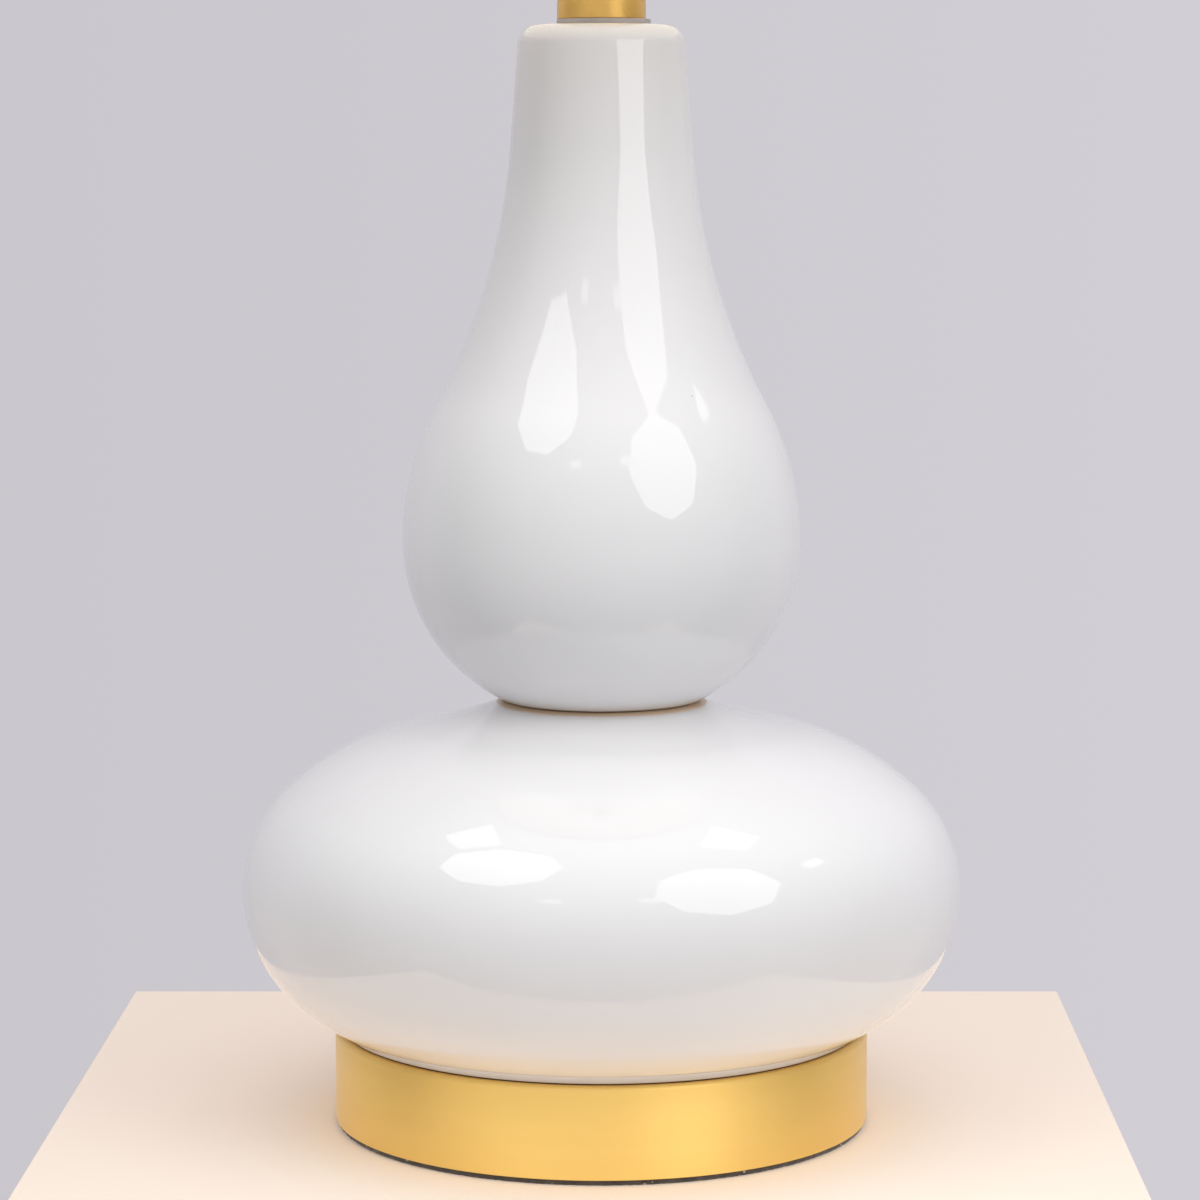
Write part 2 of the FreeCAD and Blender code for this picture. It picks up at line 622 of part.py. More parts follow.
def saddle_arm():
    """The right arm of the harp's saddle: out along X, a bend, and up to a narrow tab."""
    bend = SADDLE_BEND_RADIUS
    outside = SADDLE_HALF_SPAN
    inside = outside - SADDLE_THICKNESS
    half = math.sqrt(0.5)
    centre_x = inside - bend
    centre_z = SOCKET_Z + bend
    reach = bend + SADDLE_THICKNESS
    edges = Outline(0, SADDLE_Z)
    edges.line(centre_x, SADDLE_Z)
    edges.arc((centre_x + reach * half, centre_z - reach * half), (outside, centre_z))
    edges.line(outside, SADDLE_SHOULDER_Z)
    edges.line(inside, SADDLE_SHOULDER_Z)
    edges.line(inside, centre_z)
    edges.arc((centre_x + bend * half, centre_z - bend * half), (centre_x, SOCKET_Z))
    edges.line(0, SOCKET_Z)
    edges.line(0, SADDLE_Z)
    face = Part.Face(Part.Wire(edges.edges))
    face.translate(Vector(0, -SADDLE_ARM_WIDTH / 2, 0))
    arm = face.extrude(Vector(0, SADDLE_ARM_WIDTH, 0))
    corner = Vector(inside, -TAB_WIDTH / 2, SADDLE_SHOULDER_Z)
    tab = Part.makeBox(SADDLE_THICKNESS, TAB_WIDTH, TAB_LENGTH, corner)
    return arm.fuse(tab)


def mirrored(shape):
    """The same shape on the other side of the YZ plane."""
    return shape.mirror(Vector(0, 0, 0), Vector(1, 0, 0))


def harp_saddle():
    """The bent strip under the socket that holds the harp's two legs."""
    arm = saddle_arm()
    hub = Part.makeCylinder(SADDLE_HUB_RADIUS, SADDLE_THICKNESS, Vector(0, 0, SADDLE_Z))
    strip = hub.fuse([arm, mirrored(arm)])
    hole = Part.makeCylinder(ROD_HOLE_RADIUS, SADDLE_THICKNESS, Vector(0, 0, SADDLE_Z))
    return strip.cut(hole).removeSplitter()


def harp_path():
    """The wire's line from the left leg over the top to the right leg."""
    half = math.sqrt(0.5)
    inner = SADDLE_HALF_SPAN
    outer = HARP_HALF_WIDTH
    bend = HARP_BEND_RADIUS
    top = HARP_TOP_RADIUS
    turn = math.acos(1 - (outer - inner) / (2 * bend))
    straight_top = WIRE_BOTTOM + SLEEVE_TRAVEL + HARP_STRAIGHT_MARGIN
    knee_x = inner + bend * (1 - math.cos(turn))
    knee_z = straight_top + bend * math.sin(turn)
    side_z = straight_top + 2 * bend * math.sin(turn)
    first_mid = (inner + bend * (1 - math.cos(turn / 2)), straight_top + bend * math.sin(turn / 2))
    second_mid = (outer - bend * (1 - math.cos(turn / 2)), side_z - bend * math.sin(turn / 2))
    top_mid = (outer - top + top * half, HARP_TOP_Z - top + top * half)
    leg = Outline(inner, WIRE_BOTTOM)
    leg.line(inner, straight_top)
    leg.arc(first_mid, (knee_x, knee_z))
    leg.arc(second_mid, (outer, side_z))
    leg.line(outer, HARP_TOP_Z - top)
    leg.arc(top_mid, (outer - top, HARP_TOP_Z))
    leg.line(0, HARP_TOP_Z)
    right = Part.Wire(leg.edges)
    left = mirrored(right)
    return Part.Wire(Part.__sortEdges__(left.Edges + right.Edges))


def harp_blade():
    """The flattened end of the harp's right leg, which lies against the saddle's tab."""
    corner = Vector(SADDLE_HALF_SPAN, -TAB_WIDTH / 2, BLADE_BOTTOM)
    height = WIRE_BOTTOM - BLADE_BOTTOM + HARP_WIRE_RADIUS / 2
    blade = Part.makeBox(SADDLE_THICKNESS, TAB_WIDTH, height, corner)
    start = Vector(SADDLE_HALF_SPAN, 0, BLADE_BOTTOM)
    return blade.common(Part.makeCylinder(SLEEVE_INNER - RUNNING_CLEARANCE, height, start))


def harp():
    """The bent wire loop that carries the shade."""
    profile = Part.makeCircle(HARP_WIRE_RADIUS, Vector(-SADDLE_HALF_SPAN, 0, WIRE_BOTTOM))
    wire = harp_path().makePipeShell([Part.Wire(profile)], True, False)
    blade = harp_blade()
    return wire.fuse([blade, mirrored(blade)]).removeSplitter()


def harp_sleeve(side):
    """The sleeve that locks one leg of the harp to the saddle; side is 1 right or -1 left."""
    base = Vector(side * SADDLE_HALF_SPAN, 0, SADDLE_SHOULDER_Z)
    sleeve = Part.makeCylinder(SLEEVE_OUTER, SLEEVE_LENGTH, base)
    return sleeve.cut(Part.makeCylinder(SLEEVE_INNER, SLEEVE_LENGTH, base))


def harp_stud(harp_wire):
    """The hub riveted to the top of the harp, with the stud that the finial screws on."""
    hub = Part.makeCylinder(HUB_RADIUS, HUB_HEIGHT, Vector(0, 0, HUB_TOP - HUB_HEIGHT))
    stud = Part.makeCylinder(STUD_RADIUS, STUD_LENGTH, Vector(0, 0, HUB_TOP))
    return hub.fuse(stud).cut(harp_wire).removeSplitter()


def socket_cap():
    """The brass cap at the socket's foot: hub on the rod, dome and collar round the shell."""
    hub_top = SOCKET_Z + CAP_HUB_HEIGHT
    inner = CAP_RADIUS - CAP_WALL
    inner_hub = CAP_HUB_RADIUS - CAP_WALL
    bore = ROD_RADIUS + THREAD_CLEARANCE
    collar_top = CAP_COLLAR_Z + CAP_COLLAR_HEIGHT
    shape = Outline(bore, SOCKET_Z)
    shape.line(CAP_HUB_RADIUS, SOCKET_Z)
    shape.line(CAP_HUB_RADIUS, hub_top - CAP_WALL)
    shape.bow(CAP_RADIUS, CAP_COLLAR_Z, CAP_DOME_BULGE)
    shape.line(CAP_RADIUS, collar_top)
    shape.line(inner, collar_top)
    shape.line(inner, CAP_COLLAR_Z)
    shape.bow(inner_hub, hub_top, -CAP_DOME_BULGE)
    shape.line(bore, hub_top)
    cap = shape.turned()
    hole_start = Vector(0, bore - CAP_WALL, SOCKET_Z + CAP_HUB_HEIGHT / 2)
    hole = Part.makeCylinder(SET_SCREW_RADIUS, CAP_HUB_RADIUS, hole_start, Vector(0, 1, 0))
    return cap.cut(hole)


def set_screw():
    """The small screw in the back of the cap's hub that stops it turning on the rod."""
    start = Vector(0, ROD_RADIUS + THREAD_CLEARANCE, SOCKET_Z + CAP_HUB_HEIGHT / 2)
    length = CAP_HUB_RADIUS - ROD_RADIUS
    screw = Part.makeCylinder(SET_SCREW_RADIUS, length, start, Vector(0, 1, 0))
    slot_depth = SET_SCREW_RADIUS / 2
    slot_width = SET_SCREW_RADIUS / 2
    corner = Vector(-SET_SCREW_RADIUS, start.y + length - slot_depth, start.z - slot_width / 2)
    return screw.cut(Part.makeBox(2 * SET_SCREW_RADIUS, slot_depth, slot_width, corner))


def switch_hole(radius):
    """The hole for the switch's shaft through the socket's front wall."""
    start = Vector(0, -SOCKET_BODY_RADIUS, SWITCH_Z)
    return Part.makeCylinder(radius, CAP_RADIUS, start, Vector(0, -1, 0))


def socket_shell():
    """The thin brass shell of the socket, with a rolled bead at its top edge."""
    bead_z = SHELL_TOP - SHELL_BEAD_RADIUS
    shell = tube(SHELL_RADIUS, LINER_RADIUS, SHELL_Z, SHELL_HEIGHT)
    bead = Part.makeTorus(SHELL_RADIUS, SHELL_BEAD_RADIUS, Vector(0, 0, bead_z))
    bore = Part.makeCylinder(LINER_RADIUS, SHELL_HEIGHT + SHELL_WALL, Vector(0, 0, SHELL_Z))
    return shell.fuse(bead).cut(bore).cut(switch_hole(SWITCH_HOLE_RADIUS)).removeSplitter()


def socket_liner():
    """The card sleeve between the socket's shell and its inside."""
    liner = tube(LINER_RADIUS, LINER_RADIUS - LINER_WALL, SHELL_Z, SHELL_HEIGHT - SHELL_WALL)
    return liner.cut(switch_hole(SWITCH_HOLE_RADIUS))


def socket_body():
    """The moulded block that holds the switch, the terminals and the screw shell."""
    skirt_top = SHELL_Z
    skirt_bottom = SOCKET_Z + CAP_HUB_HEIGHT
    skirt_radius = CAP_HUB_RADIUS - CAP_WALL
    block = Part.makeCylinder(SOCKET_BODY_RADIUS, SOCKET_BODY_HEIGHT, Vector(0, 0, skirt_top))
    skirt_height = skirt_top - skirt_bottom + CAP_WALL
    skirt = tube(skirt_radius, skirt_radius - SOCKET_SKIRT_WALL, skirt_bottom, skirt_height)
    body = block.fuse(skirt)
    shaft_start = Vector(0, -SOCKET_BODY_RADIUS + SWITCH_SHAFT_DEPTH, SWITCH_Z)
    shaft_hole = Part.makeCylinder(
        SWITCH_SHAFT_RADIUS + RUNNING_CLEARANCE, SOCKET_BODY_RADIUS, shaft_start, Vector(0, -1, 0))
    body = body.cut(shaft_hole)
    for side in (1, -1):
        body = body.cut(terminal_pocket(side))
    return body.removeSplitter()


def terminal_frame(side):
    """Where a terminal screw's head meets the body, and the way out along X."""
    face_x = SOCKET_BODY_RADIUS - 2 * TERMINAL_HEAD
    return Vector(side * face_x, 0, SHELL_Z + TERMINAL_RISE), Vector(side, 0, 0)


def terminal_pocket(side):
    """The flat pocket and pilot hole for a terminal screw."""
    place, way = terminal_frame(side)
    pocket = Part.makeCylinder(TERMINAL_RADIUS + LOOSE_CLEARANCE, SOCKET_BODY_RADIUS, place, way)
    pilot = Part.makeCylinder(TERMINAL_SHANK_RADIUS, TERMINAL_SHANK_LENGTH, place, way * -1)
    return pocket.fuse(pilot)


def terminal_screws():
    """The two wire terminals at the sides of the socket's body."""
    screws = []
    for side in (1, -1):
        place, way = terminal_frame(side)
        head = Part.makeCylinder(TERMINAL_RADIUS, TERMINAL_HEAD, place, way)
        shank = Part.makeCylinder(TERMINAL_SHANK_RADIUS, TERMINAL_SHANK_LENGTH, place, way * -1)
        screws.append(head.fuse(shank))
    return Part.Compound(screws)


def screw_shell():
    """The threaded metal cup that the bulb screws into."""
    outer = SCREW_SHELL_INNER + SCREW_SHELL_WALL
    wall = tube(outer, SCREW_SHELL_INNER, SOCKET_BODY_TOP, SCREW_SHELL_HEIGHT)
    flange = tube(SCREW_SHELL_INNER, BULB_INSULATOR_TOP_RADIUS, SOCKET_BODY_TOP, SCREW_SHELL_WALL)
    return wall.fuse(flange).removeSplitter()


def centre_contact():
    """The contact at the bottom of the screw shell."""
    return Part.makeCylinder(CONTACT_RADIUS, CONTACT_THICKNESS, Vector(0, 0, SOCKET_BODY_TOP))


def switch_shaft():
    """The switch's shaft, from inside the socket's body to inside the knob."""
    inner_y = -SOCKET_BODY_RADIUS + SWITCH_SHAFT_DEPTH - LOOSE_CLEARANCE
    outer_y = -SHELL_RADIUS - KNOB_STANDOFF - KNOB_LENGTH / 2
    start = Vector(0, inner_y, SWITCH_Z)
    return Part.makeCylinder(SWITCH_SHAFT_RADIUS, inner_y - outer_y, start, Vector(0, -1, 0))


def switch_knob(shaft):
    """The ribbed knob: a collar near the socket, then a grip with round ribs."""
    start_y = -SHELL_RADIUS - KNOB_STANDOFF
    front = Vector(0, -1, 0)
    grip_y = start_y - (KNOB_LENGTH - KNOB_GRIP)
    neck = Part.makeCylinder(KNOB_NECK_RADIUS, KNOB_LENGTH, Vector(0, start_y, SWITCH_Z), front)
    grip = Part.makeCylinder(KNOB_RADIUS, KNOB_GRIP, Vector(0, grip_y, SWITCH_Z), front)
    knob = neck.fuse(grip).removeSplitter()
    tip_y = start_y - KNOB_LENGTH
    ends = [edge for edge in knob.Edges if abs(edge.BoundBox.YMin - tip_y) < SAME_PLACE
            and abs(edge.BoundBox.YMax - tip_y) < SAME_PLACE]
    knob = knob.makeChamfer(KNOB_EDGE, ends)
    ribs = []
    for index in range(KNOB_RIB_COUNT):
        place = polar(KNOB_RADIUS, 360 * index / KNOB_RIB_COUNT)
        start = Vector(place.x, grip_y - KNOB_EDGE, SWITCH_Z + place.y)
        ribs.append(Part.makeCylinder(KNOB_RIB_RADIUS, KNOB_GRIP - 2 * KNOB_EDGE, start, front))
    return knob.fuse(ribs).cut(shaft).removeSplitter()


def bulb_contact():
    """The solder tip at the bulb's foot."""
    return Part.makeCone(
        BULB_CONTACT_TIP_RADIUS, BULB_CONTACT_RADIUS, BULB_CONTACT_HEIGHT, Vector(0, 0, BULB_Z))


def bulb_insulator():
    """The dark glass ring between the bulb's tip and its screw base."""
    bottom = Vector(0, 0, BULB_Z + BULB_CONTACT_HEIGHT)
    return Part.makeCone(
        BULB_INSULATOR_RADIUS, BULB_INSULATOR_TOP_RADIUS, BULB_INSULATOR_HEIGHT, bottom)


def bulb_base():
    """The bulb's thin screw base, closed below."""
    inner = BULB_BASE_RADIUS - BULB_BASE_WALL
    shape = Outline(0, BULB_BASE_Z)
    shape.line(BULB_INSULATOR_TOP_RADIUS, BULB_BASE_Z)
    shape.line(BULB_BASE_RADIUS, BULB_BASE_Z + BULB_INSULATOR_HEIGHT)
    shape.line(BULB_BASE_RADIUS, GLASS_Z)
    shape.line(inner, GLASS_Z)
    shape.line(inner, BULB_BASE_Z + BULB_INSULATOR_HEIGHT + BULB_BASE_WALL)
    shape.line(0, BULB_BASE_Z + BULB_INSULATOR_HEIGHT + BULB_BASE_WALL)
    return shape.turned()


def glass_outline(inset):
    """The outline of the glass, moved inwards, from its foot to its crown on the axis."""
    neck = BULB_NECK_RADIUS - inset
    globe = BULB_RADIUS - inset
    flare = BULB_FLARE_RADIUS + inset
    foot_z = GLASS_Z - BULB_NECK_HEIGHT + inset
    neck_z = GLASS_Z + BULB_NECK_HEIGHT
    centre_rise = math.sqrt((globe + flare) ** 2 - (neck + flare) ** 2)
    centre_z = neck_z + centre_rise
    turn = math.asin(centre_rise / (globe + flare))
    joint = (globe * math.cos(turn), centre_z - globe * math.sin(turn))
    flare_mid = (neck + flare - flare * math.cos(turn / 2), neck_z + flare * math.sin(turn / 2))
    shape = Outline(0, foot_z)
    shape.line(neck, foot_z)
    shape.line(neck, neck_z)
    shape.arc(flare_mid, joint)
    shape.arc((globe, centre_z), (0, centre_z + globe))
    return shape.turned()


def bulb_glass():
    """The hollow frosted glass, whose foot stands inside the screw base."""
    return glass_outline(0.0).cut(glass_outline(BULB_GLASS_WALL))


def shade_radius(z):
    """The outer radius of the shade's cover at a height."""
    share = (z - SHADE_BOTTOM) / SHADE_HEIGHT
    return SHADE_BOTTOM_RADIUS + share * (SHADE_TOP_RADIUS - SHADE_BOTTOM_RADIUS)


def cone_band(z_low, z_high, outside, thickness):
    """A band that follows the shade's slope, its outer face moved out from the cover's."""
    shape = Outline(shade_radius(z_low) + outside - thickness, z_low)
    shape.line(shade_radius(z_low) + outside, z_low)
    shape.line(shade_radius(z_high) + outside, z_high)
    shape.line(shade_radius(z_high) + outside - thickness, z_high)
    return shape.turned()


def shade_cover():
    """The stiff cloth-faced cover of the shade."""
    return cone_band(SHADE_BOTTOM, SHADE_TOP, 0.0, SHADE_WALL)


def shade_trim(z):
    """The tape round one edge of the cover."""
    return cone_band(z, z + TRIM_HEIGHT, TRIM_GAP + TRIM_THICKNESS, TRIM_THICKNESS)


def shade_ring(z):
    """The round wire inside one edge of the cover."""
    slope = math.atan2(SHADE_BOTTOM_RADIUS - SHADE_TOP_RADIUS, SHADE_HEIGHT)
    reach = (RING_WIRE_RADIUS + RING_GAP) / math.cos(slope)
    radius = shade_radius(z) - SHADE_WALL / math.cos(slope) - reach
    return Part.makeTorus(radius, RING_WIRE_RADIUS, Vector(0, 0, z))


def top_ring_height():
    """The height of the upper ring's wire."""
    return SHADE_TOP - RING_WIRE_RADIUS - RING_GAP


def spider_washer():
    """The washer on the harp's hub that the shade hangs from."""
    return tube(SPIDER_WASHER_RADIUS, STUD_RADIUS + LOOSE_CLEARANCE, HUB_TOP, SPIDER_WASHER_THICKNESS)


def spider_arms(washer, top_ring):
    """The three arms that run from the spider's washer to the upper ring."""
    arm_z = SPIDER_TOP + RING_WIRE_RADIUS - SPIDER_ARM_SINK
    ring_z = top_ring_height()
    slope_radius = shade_radius(ring_z) - SHADE_WALL - 2 * RING_WIRE_RADIUS
    arms = []
    for index in range(SPIDER_ARM_COUNT):
        angle = SPIDER_FIRST_ANGLE + 360 * index / SPIDER_ARM_COUNT
        start = polar(SPIDER_ARM_INNER_RADIUS, angle, arm_z)
        end = polar(slope_radius, angle, ring_z)
        way = end - start
        arm = Part.makeCylinder(RING_WIRE_RADIUS, way.Length, start, way)
        arms.append(arm.cut([washer, top_ring]).Solids[0])
    return Part.Compound(arms)


def finial_seat():
    """The small brass washer under the finial."""
    return tube(FINIAL_SEAT_RADIUS, STUD_RADIUS + LOOSE_CLEARANCE, SPIDER_TOP, FINIAL_SEAT_THICKNESS)


def finial_knob():
    """The turned finial: foot, waist, ball and tip, with a blind threaded bore."""
    foot_top = FINIAL_Z + FINIAL_BASE_HEIGHT
    waist_top = foot_top + FINIAL_WAIST_HEIGHT
    waist = FINIAL_WAIST_RADIUS
    ball = FINIAL_BALL_RADIUS
    rise = math.sqrt(ball ** 2 - waist ** 2)
    ball_z = waist_top + rise
    tip = FINIAL_TIP_RADIUS
    tip_z = ball_z + math.sqrt(ball ** 2 - tip ** 2)
    shape = Outline(0, FINIAL_Z)
    shape.line(FINIAL_BASE_RADIUS, FINIAL_Z)
    shape.line(FINIAL_BASE_RADIUS, FINIAL_Z + FINIAL_BASE_HEIGHT / 2)
    shape.line(waist, foot_top)
    shape.line(waist, waist_top)
    shape.arc((ball, ball_z), (tip, tip_z))
    dome_z = tip_z + FINIAL_TIP_HEIGHT - tip
    shape.line(tip, dome_z)
    shape.arc((tip * math.sqrt(0.5), dome_z + tip * math.sqrt(0.5)), (0, dome_z + tip))
    bore = Part.makeCylinder(
        STUD_RADIUS + THREAD_CLEARANCE, FINIAL_BORE_DEPTH + LOOSE_CLEARANCE, Vector(0, 0, FINIAL_Z))
    return shape.turned().cut(bore)


def all_pieces():
    """Every node of the lamp with its solid."""
    wire = harp()
    shaft = switch_shaft()
    top_ring = shade_ring(top_ring_height())
    washer = spider_washer()
    return {
        "felt_pad": felt_pad(),
        "base_pan": base_pan(),
        "cord_bushing": cord_bushing(),
        "base_weight": base_weight(),
        "flat_washer": flat_washer(),
        "lock_washer": lock_washer(),
        "base_nut": base_nut(),
        "threaded_rod": threaded_rod(),
        "base_gasket": base_gasket(),
        "lower_gourd": lower_gourd(),
        "gourd_seat": gourd_seat(),
        "upper_gourd": upper_gourd(),
        "neck_washer": neck_washer(),
        "neck_ring": neck_ring(),
        "neck_tube": neck_tube(),
        "neck_cap": neck_cap(),
        "harp_saddle": harp_saddle(),
        "harp": wire,
        "harp_sleeve_right": harp_sleeve(1),
        "harp_sleeve_left": harp_sleeve(-1),
        "harp_stud": harp_stud(wire),
        "socket_cap": socket_cap(),
        "set_screw": set_screw(),
        "socket_shell": socket_shell(),
        "socket_liner": socket_liner(),
        "socket_body": socket_body(),
        "terminal_screws": terminal_screws(),
        "screw_shell": screw_shell(),
        "centre_contact": centre_contact(),
        "switch_shaft": shaft,
        "switch_knob": switch_knob(shaft),
        "bulb_contact": bulb_contact(),
        "bulb_insulator": bulb_insulator(),
        "bulb_base": bulb_base(),
        "bulb_glass": bulb_glass(),
        "shade_cover": shade_cover(),
        "shade_top_trim": shade_trim(SHADE_TOP - TRIM_HEIGHT),
        "shade_bottom_trim": shade_trim(SHADE_BOTTOM),
        "shade_top_ring": top_ring,
        "shade_bottom_ring": shade_ring(SHADE_BOTTOM + RING_WIRE_RADIUS + RING_GAP),
        "spider_washer": washer,
        "spider_arms": spider_arms(washer, top_ring),
        "finial_seat": finial_seat(),
        "finial_knob": finial_knob(),
    }


def main():
    """Write one file for each piece."""
    os.makedirs("parts", exist_ok=True)
    for name, shape in all_pieces().items():
        shape.exportStep("parts/" + name + ".step")
        box = shape.BoundBox
        print(name, len(shape.Solids), shape.isValid(), round(shape.Volume, 1),
              round(box.ZMin, 2), round(box.ZMax, 2))


main()
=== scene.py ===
"""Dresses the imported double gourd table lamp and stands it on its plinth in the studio.

Lengths in the piece classes are in millimetres, as on a maker's drawing, and become metres
where a mesh is made. Lengths in the studio are in metres. +Z is up and the lamp's axis, and
-Y is the front.
"""

import sys

import logging
import math
from abc import ABC, abstractmethod
from dataclasses import dataclass, field
from enum import Enum

import bpy
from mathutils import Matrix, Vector


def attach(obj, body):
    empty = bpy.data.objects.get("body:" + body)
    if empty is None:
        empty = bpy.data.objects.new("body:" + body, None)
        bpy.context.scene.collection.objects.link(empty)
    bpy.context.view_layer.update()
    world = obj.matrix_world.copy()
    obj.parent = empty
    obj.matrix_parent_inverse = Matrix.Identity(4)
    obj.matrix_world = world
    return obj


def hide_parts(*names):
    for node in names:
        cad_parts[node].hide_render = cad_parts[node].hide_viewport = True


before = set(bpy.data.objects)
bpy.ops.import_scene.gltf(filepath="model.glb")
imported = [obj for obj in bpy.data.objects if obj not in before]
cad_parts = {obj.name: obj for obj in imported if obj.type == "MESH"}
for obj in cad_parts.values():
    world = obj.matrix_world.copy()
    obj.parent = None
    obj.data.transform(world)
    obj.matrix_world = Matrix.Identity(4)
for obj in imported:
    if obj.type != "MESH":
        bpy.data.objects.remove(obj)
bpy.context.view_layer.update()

LOG = logging.getLogger("lamp")
MM = 0.001

Point = tuple[float, float]
Range = tuple[float, float]
Colour = tuple[float, float, float]
Place = tuple[float, float, float]
Piece = bpy.types.Object
Output = bpy.types.NodeSocket

# Headings of a turned section, in degrees from straight up
UPWARDS = 0.0
INWARDS = -90.0

# Points of a mesh that are closer than this are one point, in millimetres
MERGE_REACH = 0.002

# Keeps a division by the distance from the axis safe on the axis, in square metres
AXIS_GUARD = 1e-9

# The whole range of a mask, and the part of it where most values of a noise lie
UNIT: Range = (0.0, 1.0)
MIDDLE: Range = (0.3, 0.7)


class Body(Enum):
    """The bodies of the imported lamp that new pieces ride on."""

    LAMP = "lamp_body"
    BULB = "bulb"
    SHADE = "shade"
    FINIAL = "finial"


# Bench work: making meshes as by hand


def put_down() -> None:
    """Leaves edit mode and deselects every object."""
    if bpy.context.mode != "OBJECT":
        bpy.ops.object.mode_set(mode="OBJECT")
    bpy.ops.object.select_all(action="DESELECT")


def take_up(piece: Piece) -> None:
    """Makes a piece the only selected and the active object.

    Args:
        piece: The object to work on.
    """
    put_down()
    piece.select_set(True)
    bpy.context.view_layer.objects.active = piece


def open_mesh(piece: Piece) -> None:
    """Takes a piece up in edit mode, with all of its mesh selected.

    Args:
        piece: The piece.
    """
    take_up(piece)
    bpy.ops.object.mode_set(mode="EDIT")
    bpy.ops.mesh.select_mode(type="VERT")
    bpy.ops.mesh.select_all(action="SELECT")


def draw_outline(name: str, outline: list[Point]) -> Piece:
    """Draws half of a turned section in the XZ plane, point by point.

    Args:
        name: The piece's name.
        outline: The section's points as (distance from the axis, height) in millimetres.

    Returns:
        The object, in edit mode, with its last point selected.
    """
    put_down()
    bpy.ops.mesh.primitive_plane_add(size=2 * MM, location=(0, 0, 0))
    piece = bpy.context.object
    piece.name = name
    piece.data.name = name
    open_mesh(piece)
    bpy.ops.mesh.merge(type="CENTER")
    here = outline[0]
    bpy.ops.transform.translate(value=(here[0] * MM, 0, here[1] * MM))
    for there in outline[1:]:
        way = ((there[0] - here[0]) * MM, 0, (there[1] - here[1]) * MM)
        bpy.ops.mesh.extrude_region_move(TRANSFORM_OT_translate={"value": way})
        here = there
    return piece


def turn(name: str, outline: list[Point], steps: int) -> Piece:
    """Turns a section a full turn about the lamp's axis, as on a lathe.

    Args:
        name: The piece's name.
        outline: The section's points, closed where the first point comes back as the last.
        steps: The number of steps round the axis.

    Returns:
        The object, in object mode, with its normals outwards.
    """
    piece = draw_outline(name, outline)
    bpy.ops.mesh.select_all(action="SELECT")
    bpy.ops.mesh.spin(steps=steps, dupli=False, angle=math.tau, center=(0, 0, 0), axis=(0, 0, 1))
    bpy.ops.mesh.select_all(action="SELECT")
    bpy.ops.mesh.remove_doubles(threshold=MERGE_REACH * MM)
    bpy.ops.mesh.normals_make_consistent(inside=False)
    bpy.ops.object.mode_set(mode="OBJECT")
    return piece


def smooth(piece: Piece, degrees: float = 32.0) -> None:
    """Shades a piece smooth, with its sharper edges kept crisp.

    Args:
        piece: The piece.
        degrees: The angle past which an edge stays crisp.
    """
    take_up(piece)
    bpy.ops.object.shade_smooth_by_angle(angle=math.radians(degrees))
    put_down()


def work(piece: Piece, kind: str, **settings: object) -> None:
    """Runs one modifier over a piece and applies it.

    Args:
        piece: The piece.
        kind: The modifier's type.
        settings: The modifier's own settings.
    """
    take_up(piece)
    modifier = piece.modifiers.new(kind.lower(), kind)
    for name, setting in settings.items():
        setattr(modifier, name, setting)
    bpy.ops.object.modifier_apply(modifier=modifier.name)
    put_down()


def ripple(piece: Piece, size: float, height: float) -> None:
    """Gives a surface the slight unevenness of hand work.

    Args:
        piece: The piece.
        size: The width of one swelling in millimetres.
        height: The whole height of the unevenness in millimetres.
    """
    swell = bpy.data.textures.new(piece.name + "_swell", "CLOUDS")
    swell.noise_scale = size * MM
    swell.noise_depth = 1
    work(piece, "DISPLACE", texture=swell, texture_coords="LOCAL", strength=height * MM, mid_level=0.5)


def shift(piece: Piece, along_x: float) -> None:
    """Moves all of a piece's mesh along X, so that its object stays at the origin.

    Args:
        piece: The piece.
        along_x: How far in millimetres.
    """
    open_mesh(piece)
    bpy.ops.transform.translate(value=(along_x * MM, 0, 0))
    put_down()


def drill_back(piece: Piece, radius: float, height: float, start: float, end: float) -> None:
    """Drills a round hole along Y through the back of a piece.

    Args:
        piece: The piece to drill.
        radius: The hole's radius in millimetres.
        height: The height of the hole's axis in millimetres.
        start: Where the drill starts along Y in millimetres.
        end: Where the drill ends along Y in millimetres.
    """
    put_down()
    bpy.ops.mesh.primitive_cylinder_add(
        vertices=48,
        radius=radius * MM,
        depth=(end - start) * MM,
        location=(0, (start + end) / 2 * MM, height * MM),
        rotation=(math.pi / 2, 0, 0),
    )
    drill = bpy.context.object
    work(piece, "BOOLEAN", object=drill, operation="DIFFERENCE")
    bpy.data.objects.remove(drill, do_unlink=True)


